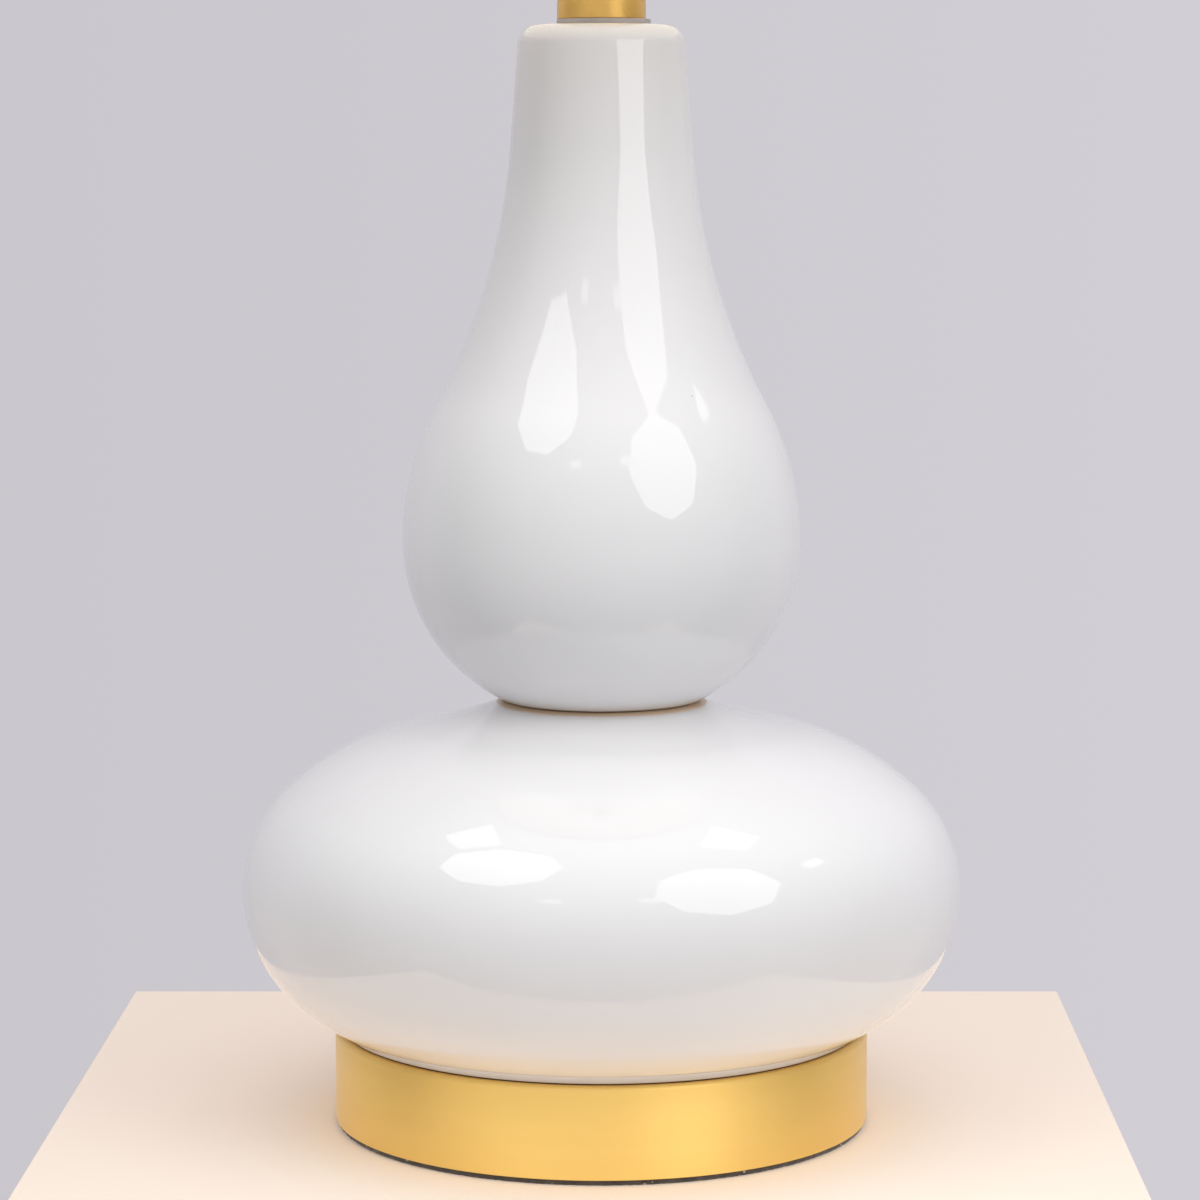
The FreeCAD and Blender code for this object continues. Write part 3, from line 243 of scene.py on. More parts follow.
@dataclass(frozen=True)
class RoundWall:
    """A round stretch of a turned section.

    A heading is the angle in degrees between the section going up and straight up, positive
    where it goes outwards. side is 1 where the wall bulges and -1 where it is hollow.
    """

    x: float
    z: float
    radius: float
    side: int

    @classmethod
    def starting(cls, start: Point, heading: float, radius: float, side: int = 1) -> "RoundWall":
        """Makes the stretch that passes through a point at a heading.

        Args:
            start: The point.
            heading: The heading there.
            radius: The stretch's radius.
            side: 1 where the wall bulges and -1 where it is hollow.

        Returns:
            The stretch.
        """
        angle = math.radians(heading)
        x = start[0] - side * radius * math.cos(angle)
        z = start[1] + side * radius * math.sin(angle)
        return cls(x, z, radius, side)

    def point(self, heading: float) -> Point:
        """Finds the point where the section has a heading.

        Args:
            heading: The heading.

        Returns:
            The point.
        """
        angle = math.radians(heading)
        out = self.side * self.radius
        return self.x + out * math.cos(angle), self.z - out * math.sin(angle)

    def heading_at_height(self, z: float) -> float:
        """The heading where the stretch reaches a height."""
        return math.degrees(math.asin(self.side * (self.z - z) / self.radius))

    def inward_heading_at(self, x: float) -> float:
        """The heading, inwards and up, at a distance from the axis."""
        return -math.degrees(math.acos(self.side * (x - self.x) / self.radius))

    def walk(self, first: float, last: float, parts: int) -> list[Point]:
        """Points along the stretch.

        Args:
            first: The heading at the first point.
            last: The heading at the last point.
            parts: How many parts the stretch is cut into.

        Returns:
            The points from the first heading to the last.
        """
        return [self.point(first + (last - first) * i / parts) for i in range(parts + 1)]


def rounded(corner: Point, before: Point, after: Point, radius: float, parts: int = 4) -> list[Point]:
    """Rounds one corner of a section.

    Args:
        corner: The sharp corner.
        before: The point before it.
        after: The point after it.
        radius: How far from the corner the round starts and ends.
        parts: How many parts the round is cut into.

    Returns:
        The points of the round.
    """
    middle = Vector(corner)
    start = middle + (Vector(before) - middle).normalized() * radius
    end = middle + (Vector(after) - middle).normalized() * radius
    points = []
    for index in range(parts + 1):
        share = index / parts
        first = start.lerp(middle, share)
        points.append(tuple(first.lerp(middle.lerp(end, share), share)))
    return points


def eased(corners: list[Point], radius: float) -> list[Point]:
    """Rounds every corner of a closed section by the same small radius.

    Args:
        corners: The section's corners, each named once.
        radius: How far from a corner its round starts and ends.

    Returns:
        The closed section, its first point repeated as its last.
    """
    points = []
    for index, corner in enumerate(corners):
        after = corners[(index + 1) % len(corners)]
        points += rounded(corner, corners[index - 1], after, radius)
    return points + points[:1]


# Shader graphs


class Graph:
    """A short way to place and join nodes in one node tree."""

    columns = 12
    column_width = 180
    row_height = 220

    # The Mix node's colour sockets, which share their names with its other sockets
    mix_first = 6
    mix_second = 7
    mix_result = 2

    def __init__(self, tree: bpy.types.NodeTree) -> None:
        """Keeps the tree and counts the nodes placed in it."""
        self.tree = tree
        self.count = 0

    def node(self, kind: str, values: dict | None = None, **settings: object) -> bpy.types.Node:
        """Places a node.

        Args:
            kind: The node's type.
            values: What its input sockets get: a number, a colour or another node's output.
            settings: The node's own settings.

        Returns:
            The node.
        """
        made = self.tree.nodes.new(kind)
        self.count += 1
        row, column = divmod(self.count, self.columns)
        made.location = (self.column_width * column, -self.row_height * row)
        for name, setting in settings.items():
            setattr(made, name, setting)
        self.fill(made, values or {})
        return made

    def fill(self, node: bpy.types.Node, values: dict) -> None:
        """Feeds several of a node's inputs, each known by its name or number."""
        for name, value in values.items():
            self.feed(node.inputs[name], value)

    def feed(self, socket: Output, value: object) -> None:
        """Joins an output to an input socket, or sets the socket's value.

        Args:
            socket: The input socket.
            value: The output that feeds it, or the number or colour that it gets.
        """
        if isinstance(value, Output):
            self.tree.links.new(value, socket)
        else:
            socket.default_value = value

    def place(self) -> Output:
        """The place on the piece, in metres."""
        return self.node("ShaderNodeTexCoord").outputs["Object"]

    def parts(self, vector: object) -> bpy.types.NodeOutputs:
        """A vector's X, Y and Z."""
        return self.node("ShaderNodeSeparateXYZ", {"Vector": vector}).outputs

    def join(self, **values: object) -> Output:
        """A vector made from its X, Y and Z, with 0 for those not given."""
        return self.node("ShaderNodeCombineXYZ", values).outputs[0]

    def math(self, operation: str, *values: object, clamp: bool = False) -> Output:
        """Places a Math node.

        Args:
            operation: What it does.
            values: Its numbers or the outputs that feed it.
            clamp: Whether the result stays between 0 and 1.

        Returns:
            Its output.
        """
        numbers = dict(enumerate(values))
        return self.node("ShaderNodeMath", numbers, operation=operation, use_clamp=clamp).outputs[0]

    def noise(self, place: object, scale: object, detail: object, **more: float) -> Output:
        """Places a Noise Texture.

        Args:
            place: Where it is read.
            scale: Its scale.
            detail: Its detail.
            more: Its other inputs.

        Returns:
            Its value.
        """
        numbers = {"Vector": place, "Scale": scale, "Detail": detail, **more}
        return self.node("ShaderNodeTexNoise", numbers).outputs["Fac"]

    def span(self, value: object, source: tuple, target: tuple = UNIT) -> Output:
        """Maps a value in proportion from one range to another, and no further than its ends.

        Args:
            value: The value.
            source: Where it starts and ends.
            target: What it becomes there.

        Returns:
            The mapped value.
        """
        numbers = {
            "Value": value,
            "From Min": source[0],
            "From Max": source[1],
            "To Min": target[0],
            "To Max": target[1],
        }
        return self.node("ShaderNodeMapRange", numbers, clamp=True).outputs["Result"]

    def mix(self, share: object, first: object, second: object) -> Output:
        """Mixes two colours.

        Args:
            share: How much of the second colour shows.
            first: The first colour.
            second: The second colour.

        Returns:
            The mixed colour.
        """
        made = self.node("ShaderNodeMix", data_type="RGBA")
        self.fill(made, {"Factor": share, self.mix_first: first, self.mix_second: second})
        return made.outputs[self.mix_result]

    def overlay(self, under: object, over: object, mask: Output, show: float) -> Output:
        """Lays one colour over another where a mask is.

        Args:
            under: The colour below.
            over: The colour on top.
            mask: Where the colour on top is.
            show: How much of it shows there.

        Returns:
            The mixed colour.
        """
        return self.mix(self.math("MULTIPLY", mask, show), under, over)


def rgba(colour: Colour) -> tuple[float, float, float, float]:
    """A colour with full opacity, as colour sockets take it."""
    return (*colour, 1.0)


def toned(colour: Colour, share: float, lift: float = 0.0) -> tuple[float, float, float, float]:
    """A darker or lighter tone of a colour, as colour sockets take it."""
    return rgba(tuple(min(1.0, part * share + lift) for part in colour))


class Effect(ABC):
    """A surface effect that several finishes share, kept as one node group."""

    name: str = ""
    inputs: dict[str, float] = {}
    outputs: tuple[str, ...] = ()

    def group(self) -> bpy.types.NodeTree:
        """Builds the effect's node group the first time that it is asked for.

        Returns:
            The node group.
        """
        known = bpy.data.node_groups.get(self.name)
        if known is not None:
            return known
        tree = bpy.data.node_groups.new(self.name, "ShaderNodeTree")
        for label, value in self.inputs.items():
            socket = tree.interface.new_socket(label, in_out="INPUT", socket_type="NodeSocketFloat")
            socket.default_value = value
        for label in self.outputs:
            tree.interface.new_socket(label, in_out="OUTPUT", socket_type="NodeSocketFloat")
        graph = Graph(tree)
        entry = graph.node("NodeGroupInput")
        results = self.build(graph, entry.outputs)
        graph.node("NodeGroupOutput", dict(zip(self.outputs, results)))
        return tree

    @abstractmethod
    def build(self, graph: Graph, inputs: bpy.types.NodeOutputs) -> tuple[Output, ...]:
        """Places the effect's nodes.

        Args:
            graph: The group's graph.
            inputs: The group's inputs.

        Returns:
            The results in the order of the group's outputs.
        """

    def place(self, graph: Graph, **values: float) -> bpy.types.NodeOutputs:
        """Places the effect in a material.

        Args:
            graph: The material's graph.
            values: The effect's inputs.

        Returns:
            The placed group's outputs.
        """
        return graph.node("ShaderNodeGroup", values, node_tree=self.group()).outputs

    def mask(self, graph: Graph, **values: float) -> Output:
        """Places the effect and gives its first output. Args as in place."""
        return self.place(graph, **values)[0]


class RingLines(Effect):
    """Fine lines that run round the lamp's axis, as a lathe or a brushing pad leaves them."""

    name = "ring_lines"
    inputs = {"Lines": 2600.0, "Breaks": 1.4}
    outputs = ("Line",)

    def build(self, graph: Graph, inputs: bpy.types.NodeOutputs) -> tuple[Output, ...]:
        """Stretches noise round the axis. Args and Returns as in Effect."""
        parts = graph.parts(graph.place())
        x, y = parts["X"], parts["Y"]
        square = graph.math("ADD", graph.math("MULTIPLY", x, x), graph.math("MULTIPLY", y, y))
        reach = graph.math("SQRT", graph.math("ADD", square, AXIS_GUARD))
        along = graph.math("MULTIPLY", graph.math("ADD", parts["Z"], reach), inputs["Lines"])
        around_x = graph.math("MULTIPLY", graph.math("DIVIDE", x, reach), inputs["Breaks"])
        around_y = graph.math("MULTIPLY", graph.math("DIVIDE", y, reach), inputs["Breaks"])
        spot = graph.join(X=around_x, Y=around_y, Z=along)
        return (graph.noise(spot, scale=1.0, detail=3.0, Roughness=0.65),)


class Mottle(Effect):
    """Soft uneven patches."""

    name = "mottle"
    inputs = {"Scale": 30.0, "Detail": 3.0}
    outputs = ("Mask",)

    def build(self, graph: Graph, inputs: bpy.types.NodeOutputs) -> tuple[Output, ...]:
        """Spreads noise over the piece. Args and Returns as in Effect."""
        noise = graph.noise(graph.place(), scale=inputs["Scale"], detail=inputs["Detail"])
        return (graph.span(noise, MIDDLE),)


class Specks(Effect):
    """Small sparse dots, such as pinholes in a glaze or fibres in felt."""

    name = "specks"
    inputs = {"Scale": 70.0, "Size": 0.03, "Share": 0.3}
    outputs = ("Mask",)

    def build(self, graph: Graph, inputs: bpy.types.NodeOutputs) -> tuple[Output, ...]:
        """Keeps a share of the cells and puts a dot in each. Args and Returns as in Effect."""
        cells = graph.node("ShaderNodeTexVoronoi", {"Vector": graph.place(), "Scale": inputs["Scale"]})
        near = graph.math("LESS_THAN", cells.outputs["Distance"], inputs["Size"])
        pick = graph.node("ShaderNodeSeparateColor", {"Color": cells.outputs["Color"]}).outputs["Red"]
        kept = graph.math("LESS_THAN", pick, inputs["Share"])
        return (graph.math("MULTIPLY", near, kept),)


class EdgeWear(Effect):
    """Rubbed edges, where a coating thins or a metal brightens."""

    name = "edge_wear"
    inputs = {"Start": 0.52, "End": 0.62, "Scale": 160.0}
    outputs = ("Mask",)
    broken: Range = (0.35, 0.65)
    least = 0.2

    def build(self, graph: Graph, inputs: bpy.types.NodeOutputs) -> tuple[Output, ...]:
        """Breaks the sharp edges up with noise. Args and Returns as in Effect."""
        edge = graph.node("ShaderNodeNewGeometry").outputs["Pointiness"]
        noise = graph.noise(graph.place(), scale=inputs["Scale"], detail=4.0)
        rubbed = graph.span(edge, (inputs["Start"], inputs["End"]))
        broken = graph.span(noise, self.broken, (self.least, 1.0))
        return (graph.math("MULTIPLY", rubbed, broken, clamp=True),)


class Dust(Effect):
    """A thin uneven film on faces that look up."""

    name = "dust"
    inputs = {"Amount": 0.2, "Scale": 60.0}
    outputs = ("Mask",)
    rise: Range = (0.55, 1.0)
    patchy: Range = (0.3, 0.75)
    least = 0.3

    def build(self, graph: Graph, inputs: bpy.types.NodeOutputs) -> tuple[Output, ...]:
        """Weighs noise by how far a face looks up. Args and Returns as in Effect."""
        normal = graph.node("ShaderNodeNewGeometry").outputs["Normal"]
        noise = graph.noise(graph.place(), scale=inputs["Scale"], detail=6.0)
        facing = graph.span(graph.parts(normal)["Z"], self.rise)
        patches = graph.span(noise, self.patchy, (self.least, 1.0))
        return (graph.math("MULTIPLY", graph.math("MULTIPLY", facing, patches), inputs["Amount"]),)


class Weave(Effect):
    """A plain weave on a piece's own UV map, in threads of slightly uneven width."""

    name = "weave"
    inputs = {"Warp": 900.0, "Weft": 900.0}
    outputs = ("Height", "Slub")
    stray = 1.8
    slub_scale: Point = (14.0, 420.0)
    slubs: Range = (0.35, 0.7)

    def build(self, graph: Graph, inputs: bpy.types.NodeOutputs) -> tuple[Output, ...]:
        """Crosses two sets of threads. Args and Returns as in Effect."""
        flat = graph.node("ShaderNodeTexCoord").outputs["UV"]
        parts = graph.parts(flat)
        stray = graph.math("MULTIPLY", graph.noise(flat, scale=55.0, detail=2.0), self.stray)
        across = graph.math("ADD", graph.math("MULTIPLY", parts["X"], inputs["Warp"]), stray)
        along = graph.math("ADD", graph.math("MULTIPLY", parts["Y"], inputs["Weft"]), stray)
        cells = graph.math("ADD", graph.math("FLOOR", across), graph.math("FLOOR", along))
        over = graph.math("ABSOLUTE", graph.math("MODULO", cells, 2.0))
        under = graph.math("SUBTRACT", 1.0, over)
        warp = graph.math("MULTIPLY", self.thread(graph, across), over)
        weft = graph.math("MULTIPLY", self.thread(graph, along), under)
        long_x = graph.math("MULTIPLY", parts["X"], self.slub_scale[0])
        long_y = graph.math("MULTIPLY", parts["Y"], self.slub_scale[1])
        slub = graph.noise(graph.join(X=long_x, Y=long_y), scale=1.0, detail=3.0)
        return graph.math("ADD", warp, weft), graph.span(slub, self.slubs)

    def thread(self, graph: Graph, way: Output) -> Output:
        """The height over one set of threads, which is 0 between them and 1 on top."""
        return graph.math("ABSOLUTE", graph.math("SINE", graph.math("MULTIPLY", way, math.pi)))


RING_LINES = RingLines()
MOTTLE = Mottle()
SPECKS = Specks()
EDGE_WEAR = EdgeWear()
DUST = Dust()
WEAVE = Weave()


# Finishes


@dataclass(frozen=True)
class Finish(ABC):
    """One finish of the lamp: a material that is built once.

    spread is how much rougher than its roughness the surface is in places.
    """

    name: str
    colour: Colour
    roughness: float
    spread: float = 0.0

    def material(self) -> bpy.types.Material:
        """Builds the finish's material the first time that it is asked for.

        Returns:
            The material.
        """
        known = bpy.data.materials.get(self.name)
        if known is not None:
            return known
        made = bpy.data.materials.new(self.name)
        made.use_nodes = True
        shader = made.node_tree.nodes["Principled BSDF"]
        shader.inputs["Roughness"].default_value = self.roughness
        self.mix_into(Graph(made.node_tree), shader)
        made.diffuse_color = rgba(self.colour)
        return made

    @abstractmethod
    def mix_into(self, graph: Graph, shader: bpy.types.Node) -> None:
        """Feeds the finish's shader.

        Args:
            graph: The material's graph.
            shader: Its Principled BSDF.
        """

    def rough(self, graph: Graph, value: Output, source: Range = UNIT) -> Output:
        """The roughness, which rises by the spread as a value crosses its range."""
        return graph.span(value, source, (self.roughness, self.roughness + self.spread))

    def bump(self, graph: Graph, shader: bpy.types.Node, height: Output, distance: float) -> None:
        """Raises the surface.

        Args:
            graph: The material's graph.
            shader: Its Principled BSDF.
            height: The output that gives the height.
            distance: The height of a full value in millimetres.
        """
        numbers = {"Height": height, "Distance": distance * MM, "Strength": 1.0}
        made = graph.node("ShaderNodeBump", numbers)
        graph.feed(shader.inputs["Normal"], made.outputs["Normal"])


@dataclass(frozen=True)
class Glaze(Finish):
    """Glossy white glaze over pale clay, with pinholes and a bare edge at the foot.

    foot is the foot's height and bare how far the clay shows above it. seat is the radius of
    the bare clay on top, or 0 where there is none. stray is how far the glaze's edge wanders.
    """

    spread: float = 0.025
    tint: Colour = (0.80, 0.79, 0.79)
    clay: Colour = (0.76, 0.60, 0.44)
    pinhole: Colour = (0.18, 0.15, 0.12)
    foot: float = 0.0
    bare: float = 0.5
    stray: float = 0.8
    seat: float = 0.0
    seat_edge: Range = (-1.0, -0.6)
    seat_stray: float = 1.4
    seat_rise: float = 20.0
    swell: float = 0.12
    pinhole_depth: float = 0.6
    clay_roughness: float = 0.5

    def bare_clay(self, graph: Graph, place: Output) -> Output:
        """Marks the clay that the glaze leaves bare at the foot and at the seat on top.

        Args:
            graph: The material's graph.
            place: The place on the piece.

        Returns:
            1 on bare clay and 0 on glaze.
        """
        parts = graph.parts(place)
        wander = graph.noise(place, scale=18.0, detail=3.0)
        level = graph.math("SUBTRACT", parts["Z"], graph.math("MULTIPLY", wander, self.stray * MM))
        low = (self.foot - self.stray / 2) * MM
        foot = graph.span(level, (low, low + self.bare * MM), (1.0, 0.0))
        if self.seat <= 0:
            return foot
        flat = graph.join(X=parts["X"], Y=parts["Y"])
        reach = graph.node("ShaderNodeVectorMath", {0: flat}, operation="LENGTH").outputs["Value"]
        edge = graph.math("SUBTRACT", reach, graph.math("MULTIPLY", wander, self.seat_stray * MM))
        ends = tuple((self.seat + end) * MM for end in self.seat_edge)
        top = graph.span(edge, ends, (1.0, 0.0))
        above = graph.math("GREATER_THAN", parts["Z"], (self.foot + self.seat_rise) * MM)
        return graph.math("MAXIMUM", foot, graph.math("MULTIPLY", top, above))

    def mix_into(self, graph: Graph, shader: bpy.types.Node) -> None:
        """Feeds the glaze. Args as in Finish."""
        cloud = MOTTLE.mask(graph, Scale=11.0, Detail=4.0)
        smear = MOTTLE.mask(graph, Scale=70.0, Detail=6.0)
        pits = SPECKS.mask(graph, Scale=34.0, Size=0.011, Share=0.35)
        wear = EDGE_WEAR.mask(graph, Start=0.56, End=0.68, Scale=300.0)
        place = graph.place()
        bare = self.bare_clay(graph, place)
        colour = graph.mix(cloud, rgba(self.colour), rgba(self.tint))
        colour = graph.overlay(colour, rgba(self.pinhole), pits, show=0.75)
        thin = graph.math("MAXIMUM", bare, graph.math("MULTIPLY", wear, 0.12))
        dull = graph.math("MULTIPLY", bare, self.clay_roughness)
        graph.fill(shader, {
            "Base Color": graph.mix(thin, colour, rgba(self.clay)),
            "Roughness": graph.math("ADD", self.rough(graph, smear), dull),
            "IOR": 1.52,
            "Coat Weight": 0.4,
            "Coat Roughness": 0.02,
        })
        swell = graph.noise(place, scale=26.0, detail=1.0)
        uneven = graph.math("SUBTRACT", swell, graph.math("MULTIPLY", pits, self.pinhole_depth))
        self.bump(graph, shader, uneven, self.swell)


@dataclass(frozen=True)
class Metal(Finish):
    """Metal worked round the lamp's axis, with lines, stains and rubbed edges.

    lines is how many lines there are in a metre, and broader how much broader the second,
    wavering set of them is. brushed stretches the highlights, and streaks darkens the lines.
    """

    spread: float = 0.12
    stain: Colour = (0.5, 0.3, 0.1)
    stained: float = 0.25
    lines: float = 2600.0
    broader: float = 9.0
    waver: float = 0.10
    depth: float = 0.01
    brushed: float = 0.0
    streaks: float = 0.0
    streak_start: float = 0.6

    def mix_into(self, graph: Graph, shader: bpy.types.Node) -> None:
        """Feeds the metal. Args as in Finish."""
        if self.brushed > 0:
            around = graph.node("ShaderNodeTangent", direction_type="RADIAL", axis="Z")
            graph.fill(shader, {
                "Anisotropic": self.brushed,
                "Anisotropic Rotation": 0.25,
                "Tangent": around.outputs["Tangent"],
            })
        line = RING_LINES.mask(graph, Lines=self.lines, Breaks=1.4)
        broad = RING_LINES.mask(graph, Lines=self.lines / self.broader, Breaks=0.7)
        patch = MOTTLE.mask(graph, Scale=24.0, Detail=5.0)
        rubbed = EDGE_WEAR.mask(graph, Start=0.53, End=0.64, Scale=210.0)
        film = DUST.mask(graph, Amount=0.12, Scale=90.0)
        streak = graph.math("MULTIPLY", graph.math("SUBTRACT", self.streak_start, line), self.streaks)
        stained = graph.math("ADD", graph.math("MULTIPLY", patch, self.stained), streak, clamp=True)
        colour = graph.mix(stained, rgba(self.colour), rgba(self.stain))
        waver = graph.math("MULTIPLY", graph.math("SUBTRACT", broad, 0.5), self.waver)
        rough = graph.math("ADD", self.rough(graph, line, (0.25, 0.75)), waver)
        graph.fill(shader, {
            "Base Color": graph.overlay(colour, toned(self.colour, share=1.12, lift=0.03), rubbed, show=0.6),
            "Roughness": graph.math("ADD", rough, film, clamp=True),
            "Metallic": 1.0,
        })
        self.bump(graph, shader, line, self.depth)


@dataclass(frozen=True)
class Cast(Finish):
    """Rough cast or plated metal that isn't worked round the axis."""

    spread: float = 0.15
    metallic: float = 1.0
    grain: float = 400.0
    depth: float = 0.05

    def mix_into(self, graph: Graph, shader: bpy.types.Node) -> None:
        """Feeds the metal. Args as in Finish."""
        patch = MOTTLE.mask(graph, Scale=45.0, Detail=5.0)
        rubbed = EDGE_WEAR.mask(graph, Start=0.53, End=0.66, Scale=260.0)
        grain = graph.noise(graph.place(), scale=self.grain, detail=4.0)
        colour = graph.overlay(rgba(self.colour), toned(self.colour, share=0.72), patch, show=0.5)
        graph.fill(shader, {
            "Base Color": graph.overlay(colour, toned(self.colour, share=1.25, lift=0.05), rubbed, show=0.7),
            "Roughness": self.rough(graph, grain, MIDDLE),
            "Metallic": self.metallic,
        })
        self.bump(graph, shader, grain, self.depth)


@dataclass(frozen=True)
class Moulded(Finish):
    """Moulded plastic, rubber, card or glossy paint."""

    spread: float = 0.08
    grain: float = 900.0
    depth: float = 0.01
    worn: Colour = (0.3, 0.3, 0.3)
    wear: float = 0.3
    coat: float = 0.0

    def mix_into(self, graph: Graph, shader: bpy.types.Node) -> None:
        """Feeds the moulding. Args as in Finish."""
        patch = MOTTLE.mask(graph, Scale=60.0, Detail=4.0)
        rubbed = EDGE_WEAR.mask(graph, Start=0.54, End=0.66, Scale=240.0)
        film = DUST.mask(graph, Amount=0.15, Scale=120.0)
        grain = graph.noise(graph.place(), scale=self.grain, detail=3.0)
        colour = graph.overlay(rgba(self.colour), toned(self.colour, share=0.82), patch, show=0.6)
        graph.fill(shader, {
            "Base Color": graph.overlay(colour, rgba(self.worn), rubbed, show=self.wear),
            "Roughness": graph.math("ADD", self.rough(graph, grain, MIDDLE), film, clamp=True),
            "Coat Weight": self.coat,
        })
        self.bump(graph, shader, grain, self.depth)


@dataclass(frozen=True)
class ClearPlastic(Finish):
    """Cloudy see-through plastic."""

    spread: float = 0.1
    through: float = 0.55

    def mix_into(self, graph: Graph, shader: bpy.types.Node) -> None:
        """Feeds the plastic. Args as in Finish."""
        patch = MOTTLE.mask(graph, Scale=140.0, Detail=4.0)
        line = RING_LINES.mask(graph, Lines=1400.0, Breaks=1.0)
        graph.fill(shader, {
            "Base Color": graph.mix(patch, rgba(self.colour), toned(self.colour, share=0.9)),
            "Roughness": self.rough(graph, patch),
            "Transmission Weight": self.through,
            "IOR": 1.49,
        })
        self.bump(graph, shader, line, distance=0.01)


@dataclass(frozen=True)
class Felt(Finish):
    """Pressed felt with loose pale fibres."""

    fleck: Colour = (0.50, 0.43, 0.36)

    def mix_into(self, graph: Graph, shader: bpy.types.Node) -> None:
        """Feeds the felt. Args as in Finish."""
        fuzz = graph.noise(graph.place(), scale=1500.0, detail=5.0)
        patch = MOTTLE.mask(graph, Scale=260.0, Detail=5.0)
        fibres = SPECKS.mask(graph, Scale=420.0, Size=0.26, Share=0.22)
        colour = graph.mix(patch, rgba(self.colour), toned(self.colour, share=1.9, lift=0.01))
        graph.fill(shader, {
            "Base Color": graph.overlay(colour, rgba(self.fleck), fibres, show=0.8),
            "Sheen Weight": 0.3,
            "Sheen Roughness": 0.5,
        })
        self.bump(graph, shader, fuzz, distance=0.25)


@dataclass(frozen=True)
class Cloth(Finish):
    """Woven cloth, plain or on a smooth lining, which can carry a painted glow that stands in for the bulb's
    light on the lining and through the cloth.
    """

    spread: float = 0.08
    warp: float = 900.0
    weft: float = 900.0
    slubs: float = 0.6
    # The two glow colours below are painted light: the cloth's and the lining's glow, which stand in for the
    # bulb's light.
    glow: Colour | None = None
    lining: Colour = (0.42, 0.40, 0.375)
    lining_painted_glow: Colour = (0.74, 0.70, 0.64)

    def inside(self, graph: Graph) -> Output:
        """Marks the faces that look towards the shade's axis, which are the smooth lining.

        Args:
            graph: The material's graph.

        Returns:
            1 on the lining and 0 on the cloth.
        """
        spot = graph.node("ShaderNodeTexCoord").outputs
        parts = graph.parts(spot["Object"])
        flat = graph.join(X=parts["X"], Y=parts["Y"])
        out = graph.node("ShaderNodeVectorMath", {0: spot["Normal"], 1: flat}, operation="DOT_PRODUCT")
        return graph.math("LESS_THAN", out.outputs["Value"], 0.0)

    def mix_into(self, graph: Graph, shader: bpy.types.Node) -> None:
        """Feeds the cloth. Args as in Finish."""
        threads = WEAVE.place(graph, Warp=self.warp, Weft=self.weft)
        height = threads["Height"]
        patch = MOTTLE.mask(graph, Scale=22.0, Detail=4.0)
        darker = toned(self.colour, share=0.86)
        slub = graph.math("MULTIPLY", threads["Slub"], self.slubs)
        # Painted shade: the cloth is darker in the gaps between the threads.
        pits = graph.span(height, (0.0, 0.5), (0.35, 0.0))
        colour = graph.mix(slub, rgba(self.colour), darker)
        colour = graph.overlay(colour, darker, patch, show=0.25)
        colour = graph.mix(pits, colour, toned(self.colour, share=0.6))
        # Painted light: emission that stands in for the bulb lighting the lining and shining through the
        # cloth.
        if self.glow is not None:
            lined = self.inside(graph)
            colour = graph.mix(lined, colour, rgba(self.lining))
            height = graph.math("MULTIPLY", height, graph.math("SUBTRACT", 1.0, lined))
            painted_cloth_glow = graph.mix(slub, rgba(self.glow), toned(self.glow, share=0.72))
            graph.fill(shader, {
                "Emission Color": graph.mix(lined, painted_cloth_glow, rgba(self.lining_painted_glow)),
                "Emission Strength": 1.0,
            })
        graph.fill(shader, {
            "Base Color": colour,
            "Roughness": self.rough(graph, patch),
            "Sheen Weight": 0.15,
        })
        self.bump(graph, shader, height, distance=0.12)


@dataclass(frozen=True)
class Glass(Finish):
    """Bulb glass, frosted or opaque, dark where its glow_strength is 0."""

    spread: float = 0.06
    glow: Colour = (1.0, 0.8, 0.55)
    glow_strength: float = 0.0

    def mix_into(self, graph: Graph, shader: bpy.types.Node) -> None:
        """Feeds the glass. Args as in Finish."""
        patch = MOTTLE.mask(graph, Scale=90.0, Detail=4.0)
        film = DUST.mask(graph, Amount=0.15, Scale=70.0)
        graph.fill(shader, {
            "Base Color": graph.mix(patch, rgba(self.colour), toned(self.colour, share=0.92)),
            "Roughness": graph.math("ADD", self.rough(graph, patch), film, clamp=True),
        })
        if self.glow_strength > 0:
            graph.fill(shader, {
                "Emission Color": graph.mix(patch, rgba(self.glow), toned(self.glow, share=0.85)),
                "Emission Strength": self.glow_strength,
            })


@dataclass(frozen=True)
class PlinthPaint(Finish):
    """The plinth's matt paint, painted paler in front and towards +X as painted light, with a faint light
    that the camera doesn't see.

    ends is where the front and the back tone are whole along Y, in metres, and slant how much
    further back the front tone reaches towards +X.
    """

    # back is the darker tone where the painted light falls off towards the back.
    back: Colour = (0.93, 0.785, 0.675)
    ends: Range = (-0.19, 0.20)
    slant: float = 0.3
    patchy: float = 0.12
    bounce: float = 0.125

    def mix_into(self, graph: Graph, shader: bpy.types.Node) -> None:
        """Feeds the paint. Args as in Finish."""
        patch = MOTTLE.mask(graph, Scale=9.0, Detail=5.0)
        parts = graph.parts(graph.place())
        # Painted light: the paint turns paler towards the front and towards +X.
        depth = graph.math("SUBTRACT", parts["Y"], graph.math("MULTIPLY", parts["X"], self.slant))
        uneven = graph.math("MULTIPLY", patch, self.patchy)
        share = graph.math("ADD", graph.span(depth, self.ends), uneven, clamp=True)
        unseen = graph.math("SUBTRACT", 1.0, graph.node("ShaderNodeLightPath").outputs["Is Camera Ray"])
        graph.fill(shader, {
            "Base Color": graph.mix(share, rgba(self.colour), rgba(self.back)),
            "Emission Color": rgba(self.colour),
            "Emission Strength": graph.math("MULTIPLY", unseen, self.bounce),
            "Specular IOR Level": 0.2,
        })


